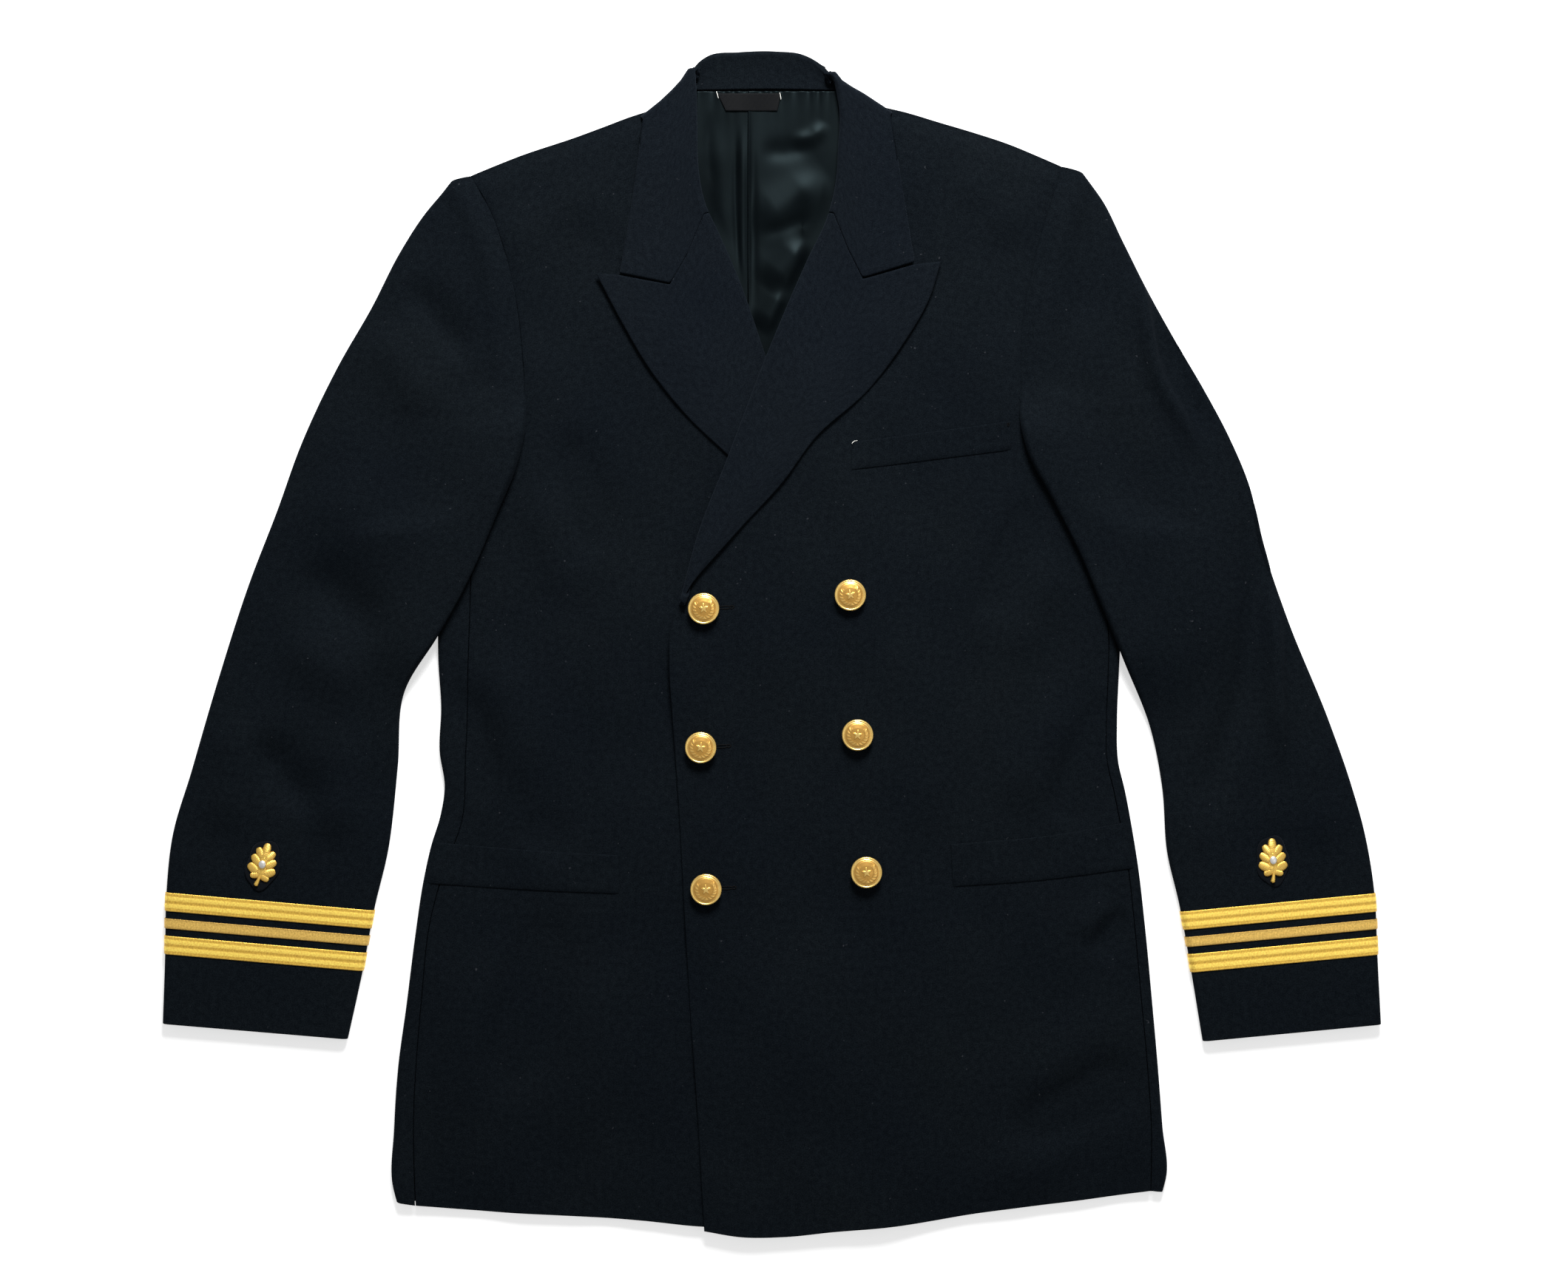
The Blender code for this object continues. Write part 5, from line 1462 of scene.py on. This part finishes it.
# %% Buttonholes and tacks
def thread(name, colour):
    """Twisted thread, a little lighter and darker from strand to strand."""
    made, tree, shader = plain(name, colour, roughness=0.7, specular_ior_level=0.1)
    strand = texture(tree, "Noise", scale=2200.0, detail=2.0)
    tree.links.new(ramp(tree, strand.outputs[0], (0.3, tuple(0.7 * c for c in colour)),
                        (0.7, tuple(1.25 * c for c in colour))), shader.inputs["Base Color"])
    return made


# This thread is painted near black, far darker than the cloth: on the buttonholes' lips it stands
# in for the shade in their slits, and the pocket's bar tack uses it too.
slit_shade_and_tack_thread = thread("slit_shade_and_tack_thread", (0.0004, 0.0005, 0.0008))
white_thread = thread("white_thread", (0.66, 0.66, 0.62))


def stitches(name, finish, slot, lines, half=0.3, height=None, pitch=1.0):
    """Rows of thread along plan lines, swelling once every pitch."""
    skins = []
    for points in lines:
        plan = line(points, 60)
        travel = np.r_[0.0, np.cumsum(np.hypot(*np.diff(plan, axis=0).T))]
        t = travel / travel[-1]
        ends = np.sqrt(np.clip(np.minimum(t, 1 - t) * 12, 0, 1))
        fat = half * ends * (1 + 0.22 * np.cos(2 * math.pi * travel / pitch))
        z = height(*plan.T) if height else front_face("left", *plan.T)
        skins.append(spindle(np.column_stack([plan, z + 0.12]), fat, fat * 0.8, around=8))
    return lay(joined(name, skins, finish), slot)


def buttonhole(place, tilt=3.0):
    """Both lips of a buttonhole that shows beside its button, and its keyhole end."""
    lips = [[(-2, h), (8, h), (18.6, h), (19.8, h * 0.4)] for h in (0.62, -0.62)]
    ring = [(18.4, 0.7), (20.2, 0.95), (21.4, 0.0), (20.2, -0.95), (18.4, -0.7)]
    return [turned_plan(part, place, tilt) for part in (*lips, ring)]


# The buttonhole lips in near-black thread are painted shade for the slit between them.
holes = stitches("buttonholes", slit_shade_and_tack_thread, "wool",
                 [part for place in BUTTONS[:3] for part in buttonhole(np.array(place))], 0.40)


def on_welt(x, y):
    """Face of the breast welt."""
    return front_face("left", x, y) + WELT_LAY + WELT


tacks = stitches("pocket_tack", white_thread, "label",
                 [[(55.2, 142.0), (57.0, 143.6), (59.4, 144.2)]], 0.2, on_welt)
bar = stitches("pocket_bar", slit_shade_and_tack_thread, "wool",
               [[(165.6, 154.6), (166.2, 157.4)], [(166.6, 154.4), (167.2, 157.2)]], 0.4, on_welt)
label_tacks = stitches("label_tacks", white_thread, "label",
                       [[(-40.6, 392.4), (-39.8, 389.6), (-39.2, 387.4)],
                        [(4.2, 391.6), (4.9, 388.8), (5.2, 386.4)]], 0.24,
                       lambda x, y: lining_top(x, y) + 0.6 + LABEL)
print("stitched:", holes.name, tacks.name, bar.name, label_tacks.name)

# %% [markdown]
# ## The cut of every sheet
# The size of each cloth piece's cut is printed.

cut_sheet(right_back)
cut_sheet(left_back)
cut_sheet(right_side)
cut_sheet(left_side)
cut_sheet(right_front)
cut_sheet(left_front)
cut_sheet(right_lapel)
cut_sheet(left_lapel)
cut_sheet(collar)
cut_sheet(stand)
cut_sheet(right_lining)
cut_sheet(left_lining)
cut_sheet(label)
for piece, under in zip(welts, ("left_front", "right_front", "left_front")):
    cut_sheet(piece)
for side, top, below in (("right", right_sleeve, right_under_sleeve),
                         ("left", left_sleeve, left_under_sleeve)):
    cut_sheet(top)
    cut_sheet(below)
    cut_sheet(laces[side][0])
    cut_sheet(laces[side][2])

# %% [markdown]
# ## Table, light and camera
# The jacket lies on a plain pale table under a large soft light from the collar's side, with
# an even sky all round. The table glows a little, as a light table does, so that shadows stay
# pale. The camera looks straight down from nearly two metres.

# %% Floor
FLOOR_HALF, FLOOR_Z = 4000.0, -0.1
floor_made, _, _ = plain("pale_table", (0.62, 0.62, 0.62), roughness=0.9,
                         emission_color=(1.0, 1.0, 1.0, 1.0), emission_strength=0.55)
floor_grid = [(x * FLOOR_HALF, y * FLOOR_HALF, FLOOR_Z)
              for x, y in ((-1, -1), (1, -1), (1, 1), (-1, 1))]
floor = put("floor", floor_grid, [[0, 1, 2, 3]], floor_made)

# %% Light
def soft_light(name, place, size, power):
    """A square soft box that looks at the jacket."""
    lamp = bpy.data.lights.new(name, "AREA")
    lamp.size, lamp.energy = size, power
    made = bpy.data.objects.new(name, lamp)
    made.location = place
    aim = np.array(place, float) / np.linalg.norm(place)
    made.rotation_euler = (math.acos(aim[2]), 0.0, math.atan2(aim[0], -aim[1]))
    made.visible_camera = False
    bpy.context.scene.collection.objects.link(made)
    return made


soft_light("key", (0.15, 1.45, 1.2), 0.6, 64.0)
soft_light("fill", (1.6, -0.6, 2.4), 1.6, 6.0)
sky = bpy.data.worlds.new("studio")
sky.use_nodes = True
background = sky.node_tree.nodes["Background"]
background.inputs["Color"].default_value = (1.0, 1.0, 1.0, 1.0)
background.inputs["Strength"].default_value = 0.38
bpy.context.scene.world = sky
bpy.context.scene.view_settings.view_transform = "Standard"

# %% Camera
VIEW_WIDTH, CAMERA_UP, VIEW_MIDDLE = 1113.0, 1900.0, (7.35, 1.6)
eye = bpy.data.cameras.new("eye")
eye.sensor_width = 36.0
eye.lens = eye.sensor_width * (CAMERA_UP - BODY) / VIEW_WIDTH
camera = bpy.data.objects.new("eye", eye)
camera.location = [v * MM for v in (*VIEW_MIDDLE, CAMERA_UP)]
bpy.context.scene.collection.objects.link(camera)
bpy.context.scene.camera = camera
print("lens", round(eye.lens, 2), "mm")
